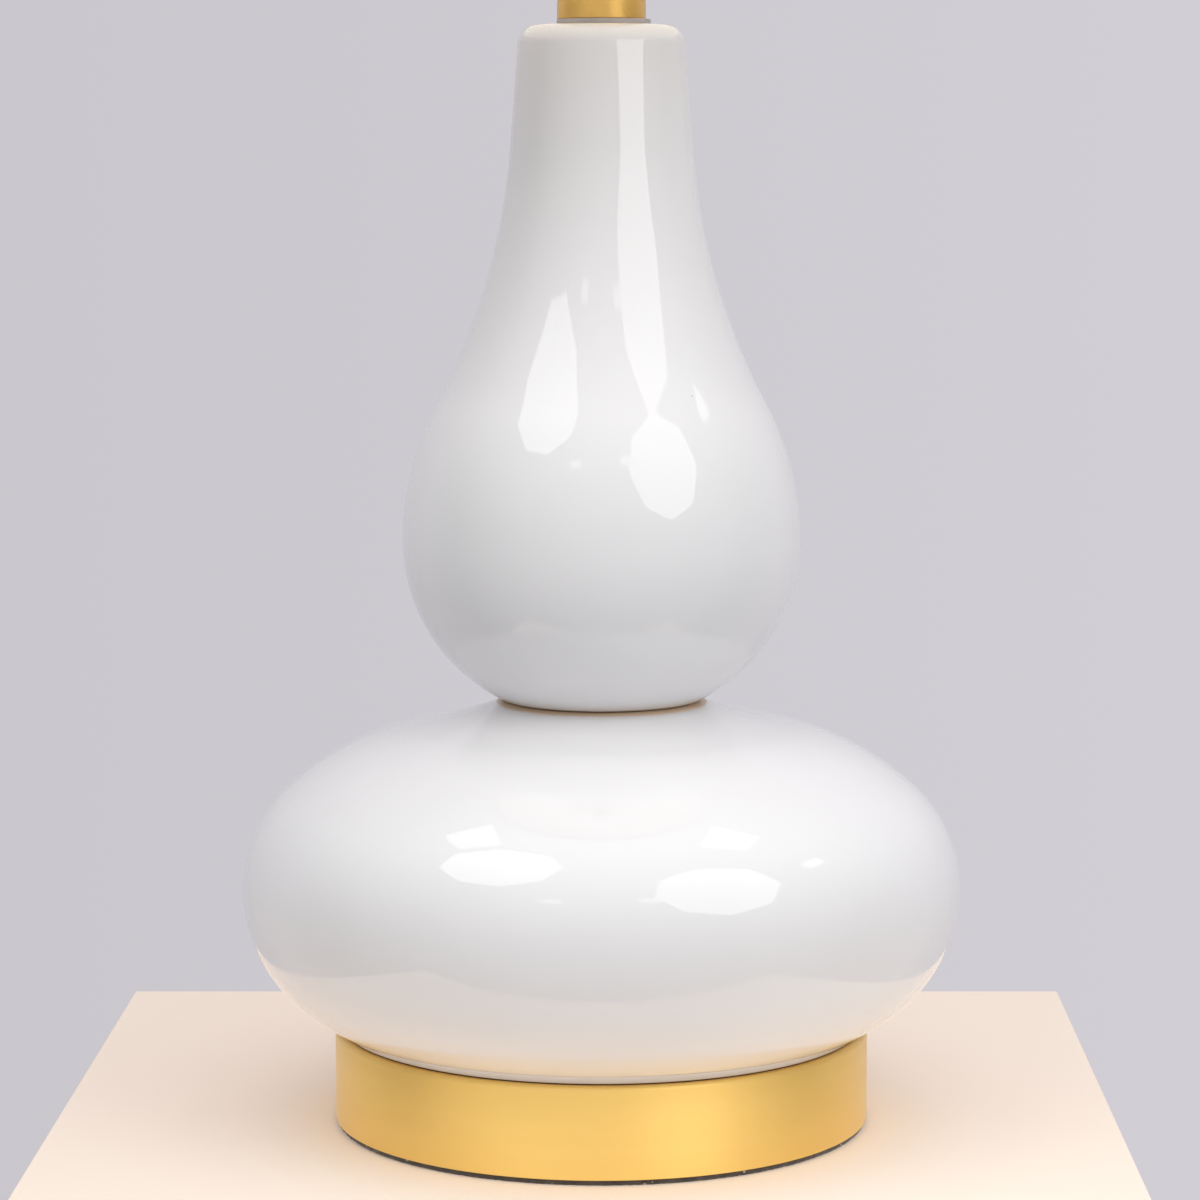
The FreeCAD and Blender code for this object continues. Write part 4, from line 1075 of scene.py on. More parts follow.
LOWER_GLAZE = Glaze("lower_glaze", (0.83, 0.82, 0.825), 0.015, foot=34.3, seat=37.3)
UPPER_GLAZE = Glaze("upper_glaze", (0.83, 0.82, 0.825), 0.015, foot=151.27, swell=0.30)
SATIN_GOLD = Metal(
    "satin_gold_brushed", (0.99, 0.71, 0.23), 0.38,
    stain=(0.92, 0.58, 0.17), depth=0.012, brushed=0.9, streaks=0.5)
# A darker copy of the satin gold for the neck's brass, as painted shade.
SHADED_NECK_GOLD = Metal(
    "neck_gold_shaded_brushed", (0.85, 0.55, 0.165), 0.38,
    stain=(0.70, 0.41, 0.12), depth=0.012, brushed=0.9, streaks=0.5)
POLISHED_BRASS = Metal(
    "polished_brass_turned", (0.86, 0.62, 0.30), 0.12,
    stain=(0.55, 0.34, 0.13), lines=4200.0, depth=0.003, spread=0.08)
BARE_ALUMINIUM = Metal(
    "bare_aluminium_rolled", (0.78, 0.78, 0.79), 0.24, stain=(0.6, 0.6, 0.6), depth=0.004)
CAST_IRON = Cast("cast_iron_rough", (0.10, 0.10, 0.10), 0.62, metallic=0.6, grain=700.0, depth=0.25)
PLATED_STEEL = Cast("plated_steel_zinc", (0.62, 0.62, 0.58), 0.28, depth=0.01)
DARK_RUBBER = Moulded(
    "dark_rubber_matte", (0.085, 0.055, 0.052), 0.6, grain=1200.0, depth=0.04, worn=(0.16, 0.11, 0.10))
DARK_PLASTIC = Moulded("dark_plastic_moulded", (0.022, 0.02, 0.018), 0.28, worn=(0.09, 0.08, 0.07))
WHITE_PAINT = Moulded(
    "white_wire_paint", (0.80, 0.79, 0.76), 0.25,
    grain=500.0, depth=0.03, worn=(0.35, 0.33, 0.30), wear=0.5, coat=0.5)
CARD = Moulded("card_sleeve", (0.50, 0.37, 0.23), 0.8, grain=1400.0, depth=0.06, worn=(0.6, 0.5, 0.36))
WASHER_PLASTIC = ClearPlastic("clear_plastic_washer", (0.86, 0.80, 0.78), 0.32)
FELT = Felt("felt_charcoal", (0.045, 0.038, 0.035), 0.95)
FROSTED_GLASS = Glass(
    "frosted_glass_bulb", (0.40, 0.38, 0.35), 0.35, glow=(0.60, 0.54, 0.45), glow_strength=1.0)
DARK_GLASS = Glass("dark_glass_ring", (0.02, 0.02, 0.025), 0.08)
# The shade's cloth glows as painted light for the burning bulb.
SHADE_CLOTH = Cloth(
    "shade_linen", (0.70, 0.655, 0.58), 0.85, warp=1500.0, weft=1500.0, glow=(0.17, 0.145, 0.11))
SHADE_TAPE = Cloth("shade_tape_woven", (0.72, 0.66, 0.56), 0.9, warp=2200.0, weft=900.0)
PLINTH_PAINT = PlinthPaint("plinth_paint", (0.93, 0.82, 0.71), 0.7)


def settle(piece: Piece, body: Body, slot: str, finish: Finish, *nodes: str) -> None:
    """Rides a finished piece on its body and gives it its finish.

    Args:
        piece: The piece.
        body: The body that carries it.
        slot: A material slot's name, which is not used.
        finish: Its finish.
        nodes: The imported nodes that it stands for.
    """
    piece.data.materials.clear()
    piece.data.materials.append(finish.material())
    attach(piece, body.value)
    if nodes:
        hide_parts(*nodes)
    LOG.info("%s: %d faces, rides on %s, %s", piece.name, len(piece.data.polygons), body.value, finish.name)


def coat(finish: Finish, *nodes: str) -> None:
    """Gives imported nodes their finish.

    Args:
        finish: The finish.
        nodes: The nodes' names.
    """
    for node in nodes:
        for material_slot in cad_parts[node].material_slots:
            material_slot.material = finish.material()
        LOG.info("%s: packed node in %s", node, finish.name)


# The lamp's pieces, from the base up


@dataclass
class SubAssembly(ABC):
    """A group of pieces that are built and dressed together."""

    pieces: dict[str, Piece] = field(default_factory=dict, init=False)

    @abstractmethod
    def build(self) -> None:
        """Builds the meshes of the group's pieces."""

    @abstractmethod
    def dress(self) -> None:
        """Gives each piece its body and its finish."""


@dataclass
class Base(SubAssembly):
    """The spun gold pan with its felt, weight and clamping hardware.

    top_ring is where the pan's flat top has a ring of edges, as a share of its radius.
    """

    radius: float = 94.7
    height: float = 31.9
    wall: float = 1.2
    edge: float = 1.5
    inner_edge: float = 0.3
    rim_round: float = 0.35
    top_ring: float = 0.6
    rod_hole: float = 5.4
    outlet_height: float = 10.5
    outlet_radius: float = 4.7
    steps: int = 256
    felt_thickness: float = 1.9
    felt_inset: float = 1.0
    felt_rim: float = 4.0
    felt_clearance: float = 0.02
    felt_steps: int = 640

    @property
    def top(self) -> float:
        """The height of the pan's flat top."""
        return self.felt_thickness + self.height

    def build(self) -> None:
        """Builds the pan and the felt."""
        self.pieces["pan"] = self.build_pan()
        self.pieces["felt"] = self.build_felt()

    def build_pan(self) -> Piece:
        """Builds the pan, open below, with a rolled top edge and the cord's hole at the back.

        Returns:
            The pan.
        """
        inside = self.radius - self.wall
        ceiling = self.top - self.wall
        foot_in = (inside, self.felt_thickness)
        foot_out = (self.radius, self.felt_thickness)
        corner = RoundWall.starting((self.radius, self.top - self.edge), UPWARDS, self.edge)
        inner = RoundWall.starting((inside, ceiling - self.inner_edge), UPWARDS, self.inner_edge)
        outline = [(inside, self.felt_thickness + self.rim_round)]
        outline += rounded(foot_in, outline[0], foot_out, self.rim_round)
        outline += rounded(foot_out, foot_in, (self.radius, self.top), self.rim_round)
        outline.append((self.radius, self.felt_thickness + self.height / 2))
        outline += corner.walk(UPWARDS, INWARDS, parts=10)
        outline.append((self.radius * self.top_ring, self.top))
        outline += [(self.rod_hole, self.top), (self.rod_hole, ceiling)]
        outline += reversed(inner.walk(UPWARDS, INWARDS, parts=4))
        pan = turn("pan_spun", outline + outline[:1], self.steps)
        drill_back(
            pan, self.outlet_radius, self.outlet_height, start=self.radius / 2, end=self.radius * 1.2)
        smooth(pan)
        return pan

    def build_felt(self) -> Piece:
        """Builds the felt disc with a soft, slightly ragged rim.

        Returns:
            The felt.
        """
        rim = self.radius - self.felt_inset
        low, low_in = (rim, 0.0), (rim - self.felt_rim, 0.0)
        high, high_in = (rim, self.felt_thickness), (rim - self.felt_rim, self.felt_thickness)
        outline = [(0.0, 0.0), (rim / 2, 0.0), low_in]
        outline += rounded(low, low_in, high, radius=0.6)
        outline += rounded(high, low, high_in, radius=0.3, parts=3)
        outline += [high_in, (0.0, self.felt_thickness)]
        felt = turn("felt_disc", outline, self.felt_steps)
        ripple(felt, size=1.1, height=0.5)
        self.flatten(felt)
        smooth(felt, degrees=60)
        return felt

    def flatten(self, felt: Piece) -> None:
        """Keeps the felt between the table and the pan after its rim is roughened.

        Args:
            felt: The felt disc.
        """
        high = (self.felt_thickness - self.felt_clearance) * MM
        for vertex in felt.data.vertices:
            vertex.co.z = min(max(vertex.co.z, 0.0), high)

    def dress(self) -> None:
        """Dresses the pan, the felt and the hardware inside."""
        settle(self.pieces["pan"], Body.LAMP, "satin_gold", SATIN_GOLD, "base_pan")
        settle(self.pieces["felt"], Body.LAMP, "felt", FELT, "felt_pad")
        coat(DARK_PLASTIC, "cord_bushing")
        coat(CAST_IRON, "base_weight")
        coat(PLATED_STEEL, "flat_washer", "lock_washer", "base_nut", "threaded_rod")
        # The gaskets' dark colour is partly painted shade: it also stands for the shadow in the gaps at the
        # gourds' feet.
        coat(DARK_RUBBER, "base_gasket", "gourd_seat")


@dataclass
class Gourd(ABC):
    """What both ceramic gourds share: a hollow wall round a rod hole, and a foot ring.

    cuts is how many parts each round stretch of the side is cut into, and hollow_step how many
    of them are one part inside.
    """

    foot_z: float = 0.0
    foot_width: float = 8.0
    foot_recess: float = 2.0
    recess_round: float = 0.5
    inner_round: float = 0.5
    wall: float = 5.5
    rod_hole: float = 7.4
    hole_round: float = 0.6
    floor: float = 6.0
    steps: int = 192
    cuts: tuple[int, ...] = ()
    hollow_step: int = 3

    @property
    def floor_z(self) -> float:
        """The height of the hollow's floor."""
        return self.foot_z + self.foot_recess + self.floor

    @abstractmethod
    def outside(self) -> list[Point]:
        """The section's outer points, from the rod hole's foot to its top."""

    @abstractmethod
    def inside(self) -> list[Point]:
        """The hollow's points, from the floor at the rod hole to the ceiling there."""

    def underside(self, rim: Point) -> list[Point]:
        """The recess under the foot, from the rod hole to the foot ring's inner edge.

        Args:
            rim: The foot ring's outer corner.

        Returns:
            The points.
        """
        recess = self.foot_z + self.foot_recess
        inner = rim[0] - self.foot_width
        shelf = (inner - 1.0, recess)
        points = [(self.rod_hole, recess), shelf]
        points += rounded((inner, recess), shelf, (inner, self.foot_z), self.recess_round, parts=2)
        return points + rounded((inner, self.foot_z), (inner, recess), rim, self.inner_round, parts=3)

    def climb(self, walls: tuple[RoundWall, ...], *headings: float) -> list[Point]:
        """The points up the side, over one round stretch after the other.

        Args:
            walls: The stretches from the lowest up.
            headings: The headings where the first one starts, where they meet and where the
                last one ends.

        Returns:
            The points.
        """
        points = [walls[0].point(headings[0])]
        for wall, first, last, parts in zip(walls, headings, headings[1:], self.cuts):
            points += wall.walk(first, last, parts)[1:]
        return points

    def hole_edge(self, top: float) -> list[Point]:
        """The eased edge where the flat top meets the rod hole."""
        return [(self.rod_hole + self.hole_round, top), (self.rod_hole, top - self.hole_round)]

    def throw(self, name: str) -> Piece:
        """Turns the gourd as one hollow piece.

        Args:
            name: The piece's name.

        Returns:
            The gourd.
        """
        outline = self.outside() + self.inside()[::-1]
        piece = turn(name, outline + outline[:1], self.steps)
        smooth(piece, degrees=40)
        return piece


@dataclass
class LowerGourd(Gourd):
    """The wide gourd: a foot band with a crease above it, and a round body."""

    foot_z: float = 34.3
    foot_radius: float = 92.2
    foot_width: float = 8.5
    foot_height: float = 3.2
    foot_flare: float = 1.2
    foot_recess: float = 2.5
    sill_round: float = 0.45
    band_round: float = 0.3
    crease: float = 0.5
    radius: float = 127.0
    equator_rise: float = 50.4
    side_radius: float = 51.2
    side_angle: float = 49.0
    under_radius: float = 64.5
    shoulder_radius: float = 45.3
    shoulder_angle: float = 46.6
    top_radius: float = 94.7
    top_angle: float = 32.9
    collar_radius: float = 34.8
    collar_curve: float = 155.0
    cuts: tuple[int, ...] = (12, 26, 22, 22, 5)

    @property
    def flattest(self) -> float:
        """The heading where the top meets the hollow collar."""
        return -self.shoulder_angle - self.top_angle

    def walls(self, inset: float) -> tuple[RoundWall, ...]:
        """The round stretches of the side: under, side, shoulder, top and collar.

        Args:
            inset: How far they are moved inwards.

        Returns:
            The stretches from the lowest up.
        """
        equator = (self.radius - inset, self.foot_z + self.equator_rise)
        side = RoundWall.starting(equator, UPWARDS, self.side_radius - inset)
        below = side.point(self.side_angle)
        under = RoundWall.starting(below, self.side_angle, self.under_radius - inset)
        shoulder = RoundWall.starting(equator, UPWARDS, self.shoulder_radius - inset)
        above = shoulder.point(-self.shoulder_angle)
        top = RoundWall.starting(above, -self.shoulder_angle, self.top_radius - inset)
        foot = top.point(self.flattest)
        collar = RoundWall.starting(foot, self.flattest, self.collar_curve + inset, side=-1)
        return under, side, shoulder, top, collar

    def side(self, walls: tuple[RoundWall, ...], start: float, end: float) -> list[Point]:
        """The side's points from a heading low on it to one at its collar."""
        return self.climb(walls, start, self.side_angle, UPWARDS, -self.shoulder_angle, self.flattest, end)

    def outside(self) -> list[Point]:
        """Draws the foot with its crease, the body and the flat seat on top.

        Returns:
            The points.
        """
        walls = self.walls(0.0)
        under, collar = walls[0], walls[-1]
        sill = (self.foot_radius, self.foot_z)
        inner = (self.foot_radius - self.foot_width, self.foot_z)
        band_top = (self.foot_radius + self.foot_flare, self.foot_z + self.foot_height)
        start = under.heading_at_height(band_top[1] + self.crease)
        points = self.underside(sill)
        points += rounded(sill, inner, band_top, self.sill_round)
        points += rounded(band_top, sill, under.point(start), self.band_round)
        points += self.side(walls, start, collar.inward_heading_at(self.collar_radius))
        return points + self.hole_edge(points[-1][1])

    def inside(self) -> list[Point]:
        """Draws the hollow, from the floor to the ceiling.

        Returns:
            The points.
        """
        walls = self.walls(self.wall)
        under, collar = walls[0], walls[-1]
        end = collar.inward_heading_at(self.collar_radius - self.wall)
        points = self.side(walls, under.heading_at_height(self.floor_z), end)[::self.hollow_step]
        last = collar.point(end)
        return [(self.rod_hole, self.floor_z), *points, last, (self.rod_hole, last[1])]


@dataclass
class UpperGourd(Gourd):
    """The tall gourd: a round bowl, a long hollow waist and a neck with a rounded top edge.

    foot_lift is how far above the foot the bowl starts, as a share of the foot's round.
    """

    foot_z: float = 151.27
    radius: float = 69.9
    equator_rise: float = 56.2
    bowl_radius: float = 62.9
    foot_recess: float = 1.5
    foot_round: float = 1.2
    foot_lift: float = 1.2
    recess_round: float = 0.4
    shoulder_radius: float = 101.0
    shoulder_angle: float = 28.2
    waist_radius: float = 225.8
    neck_slope: float = 4.3
    neck_length: float = 35.3
    neck_cuts: int = 8
    neck_edge: float = 6.8
    neck_edge_cuts: int = 14
    neck_top: float = 6.0
    cuts: tuple[int, ...] = (28, 18, 32)

    def walls(self, inset: float) -> tuple[RoundWall, ...]:
        """The round stretches of the side: bowl, shoulder and waist.

        Args:
            inset: How far they are moved inwards.

        Returns:
            The stretches from the lowest up.
        """
        equator = (self.radius - inset, self.foot_z + self.equator_rise)
        bowl = RoundWall.starting(equator, UPWARDS, self.bowl_radius - inset)
        shoulder = RoundWall.starting(equator, UPWARDS, self.shoulder_radius - inset)
        above = shoulder.point(-self.shoulder_angle)
        waist = RoundWall.starting(above, -self.shoulder_angle, self.waist_radius + inset, side=-1)
        return bowl, shoulder, waist

    def side(self, walls: tuple[RoundWall, ...], start: float) -> list[Point]:
        """The side's points from a heading on the bowl to the straight neck."""
        return self.climb(walls, start, UPWARDS, -self.shoulder_angle, -self.neck_slope)

    def narrowed(self, rise: float) -> float:
        """How much narrower the straight neck gets over a rise."""
        return rise * math.tan(math.radians(self.neck_slope))

    def neck_end(self) -> Point:
        """Where the straight neck meets its rounded top edge."""
        x, z = self.walls(0.0)[-1].point(-self.neck_slope)
        return x - self.narrowed(self.neck_length), z + self.neck_length

    def top_edge(self) -> RoundWall:
        """The rounded top edge of the neck."""
        return RoundWall.starting(self.neck_end(), -self.neck_slope, self.neck_edge)

    def outside(self) -> list[Point]:
        """Draws the foot, the bowl, the waist, the neck and its top edge.

        Returns:
            The points.
        """
        walls = self.walls(0.0)
        bowl = walls[0]
        foot = bowl.point(bowl.heading_at_height(self.foot_z))
        inner = (foot[0] - self.foot_width, self.foot_z)
        side = self.side(walls, bowl.heading_at_height(self.foot_z + self.foot_lift * self.foot_round))
        points = self.underside(foot)
        points += rounded(foot, inner, side[0], self.foot_round, parts=5)
        points += side
        first, last = side[-1], self.neck_end()
        for index in range(1, self.neck_cuts + 1):
            points.append(tuple(a + (b - a) * index / self.neck_cuts for a, b in zip(first, last)))
        points += self.top_edge().walk(-self.neck_slope, INWARDS, self.neck_edge_cuts)[1:]
        return points + self.hole_edge(points[-1][1])

    def inside(self) -> list[Point]:
        """Draws the hollow, from the floor to the ceiling.

        Returns:
            The points.
        """
        walls = self.walls(self.wall)
        ceiling = self.top_edge().point(INWARDS)[1] - self.neck_top
        points = self.side(walls, walls[0].heading_at_height(self.floor_z))
        neck_x, neck_z = points[-1]
        last = (neck_x - self.narrowed(ceiling - neck_z), ceiling)
        hollow = [*points[::self.hollow_step], points[-1], last]
        return [(self.rod_hole, self.floor_z), *hollow, (self.rod_hole, ceiling)]


@dataclass
class GourdStack(SubAssembly):
    """The two gourds, one on the other."""

    lower: LowerGourd = field(default_factory=LowerGourd)
    upper: UpperGourd = field(default_factory=UpperGourd)

    def build(self) -> None:
        """Builds both gourds."""
        self.pieces["lower"] = self.lower.throw("lower_gourd_glazed")
        self.pieces["upper"] = self.upper.throw("upper_gourd_glazed")

    def dress(self) -> None:
        """Glazes both gourds."""
        settle(self.pieces["lower"], Body.LAMP, "white_glaze", LOWER_GLAZE, "lower_gourd")
        settle(self.pieces["upper"], Body.LAMP, "white_glaze", UPPER_GLAZE, "upper_gourd")


@dataclass
class Neck(SubAssembly):
    """The plastic washer and the three turned brass pieces above the ceramic."""

    foot_z: float = 386.56
    washer_radius: float = 16.3
    washer_height: float = 1.9
    washer_edge: float = 0.35
    washer_shift: float = 0.8
    radius: float = 15.4
    ring_height: float = 6.3
    tube_height: float = 30.0
    tube_wall: float = 1.2
    cap_height: float = 9.0
    cap_rim: float = 2.25
    cap_top: float = 10.5
    cap_dome: float = 1.3
    cap_cuts: int = 12
    spigot_height: float = 2.5
    rod_hole: float = 5.4
    clearance: float = 0.3
    edge: float = 0.45
    steps: int = 128

    @property
    def ring_z(self) -> float:
        """The height of the brass ring's foot."""
        return self.foot_z + self.washer_height

    @property
    def tube_z(self) -> float:
        """The height of the tube's foot."""
        return self.ring_z + self.ring_height

    @property
    def cap_z(self) -> float:
        """The height of the cap's foot."""
        return self.tube_z + self.tube_height

    @property
    def tube_bore(self) -> float:
        """The radius of the tube's bore."""
        return self.radius - self.tube_wall

    @property
    def spigot(self) -> float:
        """The outer radius of the spigots that centre the tube."""
        return self.tube_bore - self.clearance

    @property
    def spigot_bore(self) -> float:
        """The inner radius of the spigots."""
        return self.spigot - self.tube_wall

    def build(self) -> None:
        """Builds the washer, the ring, the tube and the cap."""
        hole = self.rod_hole + self.washer_shift
        lip = self.tube_z + self.spigot_height
        washer = [
            (hole, self.foot_z), (self.washer_radius, self.foot_z),
            (self.washer_radius, self.ring_z), (hole, self.ring_z),
        ]
        ring = [
            (self.rod_hole, self.ring_z), (self.radius, self.ring_z),
            (self.radius, self.tube_z), (self.spigot, self.tube_z),
            (self.spigot, lip), (self.spigot_bore, lip),
            (self.spigot_bore, self.tube_z), (self.rod_hole, self.tube_z),
        ]
        tube = [
            (self.tube_bore, self.tube_z), (self.radius, self.tube_z),
            (self.radius, self.cap_z), (self.tube_bore, self.cap_z),
        ]
        self.pieces["washer"] = turn("washer_clear", eased(washer, self.washer_edge), self.steps)
        self.pieces["ring"] = turn("ring_turned", eased(ring, self.edge), self.steps)
        self.pieces["tube"] = turn("tube_turned", eased(tube, self.edge), self.steps)
        self.pieces["cap"] = turn("cap_turned", self.cap_outline(), self.steps)
        shift(self.pieces["washer"], self.washer_shift)
        for piece in self.pieces.values():
            smooth(piece)

    def cap_outline(self) -> list[Point]:
        """Draws the domed cap with the spigot that centres it in the tube.

        Returns:
            The closed section.
        """
        foot, rim, top = self.cap_z, self.cap_z + self.cap_rim, self.cap_z + self.cap_height
        low = foot - self.spigot_height
        start, end = Vector((self.radius, rim)), Vector((self.cap_top, top))
        way = end - start
        out = Vector((way.y, -way.x)).normalized()
        outline = [(self.spigot_bore, low), (self.spigot, low), (self.spigot, foot)]
        outline += rounded((self.radius, foot), (self.spigot, foot), (self.radius, rim), self.edge)
        for index in range(self.cap_cuts + 1):
            share = index / self.cap_cuts
            # A parabola that is 0 at both ends of the dome and 1 in its middle
            bulge = self.cap_dome * 4 * share * (1 - share)
            outline.append(tuple(start + way * share + out * bulge))
        outline += [(self.rod_hole, top), (self.rod_hole, foot), (self.spigot_bore, foot)]
        return outline + outline[:1]

    def dress(self) -> None:
        """Dresses the washer and the brass."""
        settle(self.pieces["washer"], Body.LAMP, "clear_plastic", WASHER_PLASTIC, "neck_washer")
        for part in ("ring", "tube", "cap"):
            # The neck's brass takes the darker copy of the satin gold: painted shade.
            settle(self.pieces[part], Body.LAMP, "satin_gold", SHADED_NECK_GOLD, f"neck_{part}")


@dataclass
class Socket(SubAssembly):
    """The harp's saddle, the harp, the socket and its switch."""

    def build(self) -> None:
        """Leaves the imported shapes, which already have their ribs, beads and slots."""

    def dress(self) -> None:
        """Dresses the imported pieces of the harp, the socket and the switch."""
        coat(POLISHED_BRASS, "harp_saddle", "harp", "harp_sleeve_right", "harp_sleeve_left", "harp_stud")
        coat(POLISHED_BRASS, "socket_cap", "socket_shell", "terminal_screws", "centre_contact")
        coat(PLATED_STEEL, "set_screw", "switch_shaft")
        coat(CARD, "socket_liner")
        coat(DARK_PLASTIC, "socket_body", "switch_knob")
        coat(BARE_ALUMINIUM, "screw_shell")


@dataclass
class Bulb(SubAssembly):
    """The bulb: solder tip, glass ring, threaded base and frosted glass.

    The thread is a turned wave, with wave_cuts parts to each of its thread_turns.
    """

    base_z: float = 477.26
    base_height: float = 20.5
    radius: float = 13.15
    foot_radius: float = 9.6
    foot_rise: float = 2.6
    foot_inset: float = 0.4
    wall: float = 0.5
    pitch: float = 3.629
    thread_start: float = 0.6
    thread_depth: float = 0.75
    thread_turns: int = 4
    wave_cuts: int = 12
    steps: int = 72

    def build(self) -> None:
        """Builds the base with its rolled thread."""
        top = self.base_z + self.base_height
        low = self.base_z + self.foot_rise
        start = low + self.thread_start
        inner = self.radius - self.wall - self.thread_depth
        foot = self.radius - self.foot_inset
        outline = [(0.0, self.base_z), (self.foot_radius, self.base_z)]
        outline += rounded((foot, low), outline[-1], (foot, top), radius=0.5)
        for index in range(self.thread_turns * self.wave_cuts + 1):
            share = index / self.wave_cuts
            depth = self.thread_depth * (0.5 - 0.5 * math.cos(math.tau * share))
            outline.append((self.radius - depth, start + share * self.pitch))
        outline += rounded((self.radius, top), (self.radius, top - 1.0), (inner, top), radius=0.15, parts=2)
        outline += [(inner, top), (inner, low + self.wall), (0.0, low + self.wall)]
        base = turn("bulb_base_threaded", outline, self.steps)
        smooth(base, degrees=50)
        self.pieces["base"] = base

    def dress(self) -> None:
        """Dresses the bulb."""
        settle(self.pieces["base"], Body.BULB, "bare_aluminium", BARE_ALUMINIUM, "bulb_base")
        coat(PLATED_STEEL, "bulb_contact")
        coat(DARK_GLASS, "bulb_insulator")
        coat(FROSTED_GLASS, "bulb_glass")


@dataclass
class Shade(SubAssembly):
    """The tapered shade: cover with a lapped seam, folded tapes, rings and spider.

    lap_angle is half of the seam's width in degrees, lap_inset its distance from the tapes and
    lap_rise how far it stands out. lip is how far a band's edges are rounded, as a share of its
    thickness.
    """

    bottom_z: float = 415.063
    top_z: float = 629.063
    bottom_radius: float = 124.0
    top_radius: float = 60.0
    wall: float = 1.0
    cover_cuts: int = 24
    tape_height: float = 9.0
    tape_thickness: float = 0.4
    tape_gap: float = 0.25
    tape_cuts: int = 6
    lap_angle: float = 5.0
    lap_inset: float = 1.5
    lap_rise: float = 0.35
    lip: float = 0.3
    steps: int = 180

    def radius_at(self, z: float) -> float:
        """The cover's outer radius at a height."""
        share = (z - self.bottom_z) / (self.top_z - self.bottom_z)
        return self.bottom_radius + share * (self.top_radius - self.bottom_radius)

    def band(self, name: str, ends: Range, out: float, thickness: float, parts: int) -> Piece:
        """Builds a band that follows the shade's slope, with its own flat map for the weave.

        Args:
            name: The piece's name.
            ends: The heights of the band's lower and upper edge.
            out: How far its outer face stands outside the cover's.
            thickness: Its thickness.
            parts: How many parts its height is cut into.

        Returns:
            The band.
        """
        low, high = ends
        levels = [low + (high - low) * i / parts for i in range(parts + 1)]
        outer = [(self.radius_at(z) + out, z) for z in levels]
        inner = [(x - thickness, z) for x, z in reversed(outer)]
        lips = thickness * self.lip
        outline = [(outer[0][0] - thickness / 2, low)]
        outline += rounded(outer[0], inner[-1], outer[1], lips, parts=2) + outer[1:-1]
        outline += rounded(outer[-1], outer[-2], inner[0], lips, parts=2)
        outline += rounded(inner[0], outer[-1], inner[1], lips, parts=2) + inner[1:-1]
        outline += rounded(inner[-1], inner[-2], outer[0], lips, parts=2)
        piece = turn(name, outline + outline[:1], self.steps)
        self.lay_flat(piece)
        smooth(piece, degrees=50)
        return piece

    def lay_flat(self, piece: Piece) -> None:
        """Lays a band's surface out flat in metres as its UV map, opened at the back.

        Args:
            piece: The band.
        """
        layer = piece.data.uv_layers.new(name="flat")
        middle = (self.bottom_radius + self.top_radius) / 2 * MM
        for face in piece.data.polygons:
            centre = math.atan2(face.center.x, -face.center.y)
            for loop in face.loop_indices:
                place = piece.data.vertices[piece.data.loops[loop].vertex_index].co
                angle = math.atan2(place.x, -place.y)
                angle += math.tau * round((centre - angle) / math.tau)
                layer.data[loop].uv = (angle * middle, place.z)

    def lap(self, cover: Piece) -> None:
        """Raises the strip at the back where the cover's cloth overlaps itself.

        Args:
            cover: The cover.
        """
        open_mesh(cover)
        bpy.ops.mesh.select_mode(type="FACE")
        bpy.ops.mesh.select_all(action="DESELECT")
        bpy.ops.object.mode_set(mode="OBJECT")
        inset = (self.tape_height + self.lap_inset) * MM
        for face in cover.data.polygons:
            centre = face.center
            behind = abs(math.atan2(centre.x, centre.y)) < math.radians(self.lap_angle)
            outward = face.normal.y > 0.5
            between = self.bottom_z * MM + inset < centre.z < self.top_z * MM - inset
            face.select = behind and outward and between
        bpy.ops.object.mode_set(mode="EDIT")
        rise = {"value": self.lap_rise * MM}
        bpy.ops.mesh.extrude_region_shrink_fatten(TRANSFORM_OT_shrink_fatten=rise)
        put_down()

    def build(self) -> None:
        """Builds the cover and its two tapes."""
        cover = self.band("cover_linen", (self.bottom_z, self.top_z), 0.0, self.wall, self.cover_cuts)
        self.lap(cover)
        self.pieces["cover"] = cover
        ends = {
            "low": (self.bottom_z, self.bottom_z + self.tape_height),
            "high": (self.top_z - self.tape_height, self.top_z),
        }
        out = self.tape_gap + self.tape_thickness
        for level, heights in ends.items():
            tape = self.band(f"tape_{level}", heights, out, self.tape_thickness, self.tape_cuts)
            self.pieces[level] = tape

    def dress(self) -> None:
        """Dresses the cover, the tapes, the rings and the spider."""
        settle(self.pieces["cover"], Body.SHADE, "shade_cloth", SHADE_CLOTH, "shade_cover")
        settle(self.pieces["low"], Body.SHADE, "shade_tape", SHADE_TAPE, "shade_bottom_trim")
        settle(self.pieces["high"], Body.SHADE, "shade_tape", SHADE_TAPE, "shade_top_trim")
        coat(WHITE_PAINT, "shade_top_ring", "shade_bottom_ring", "spider_washer", "spider_arms")


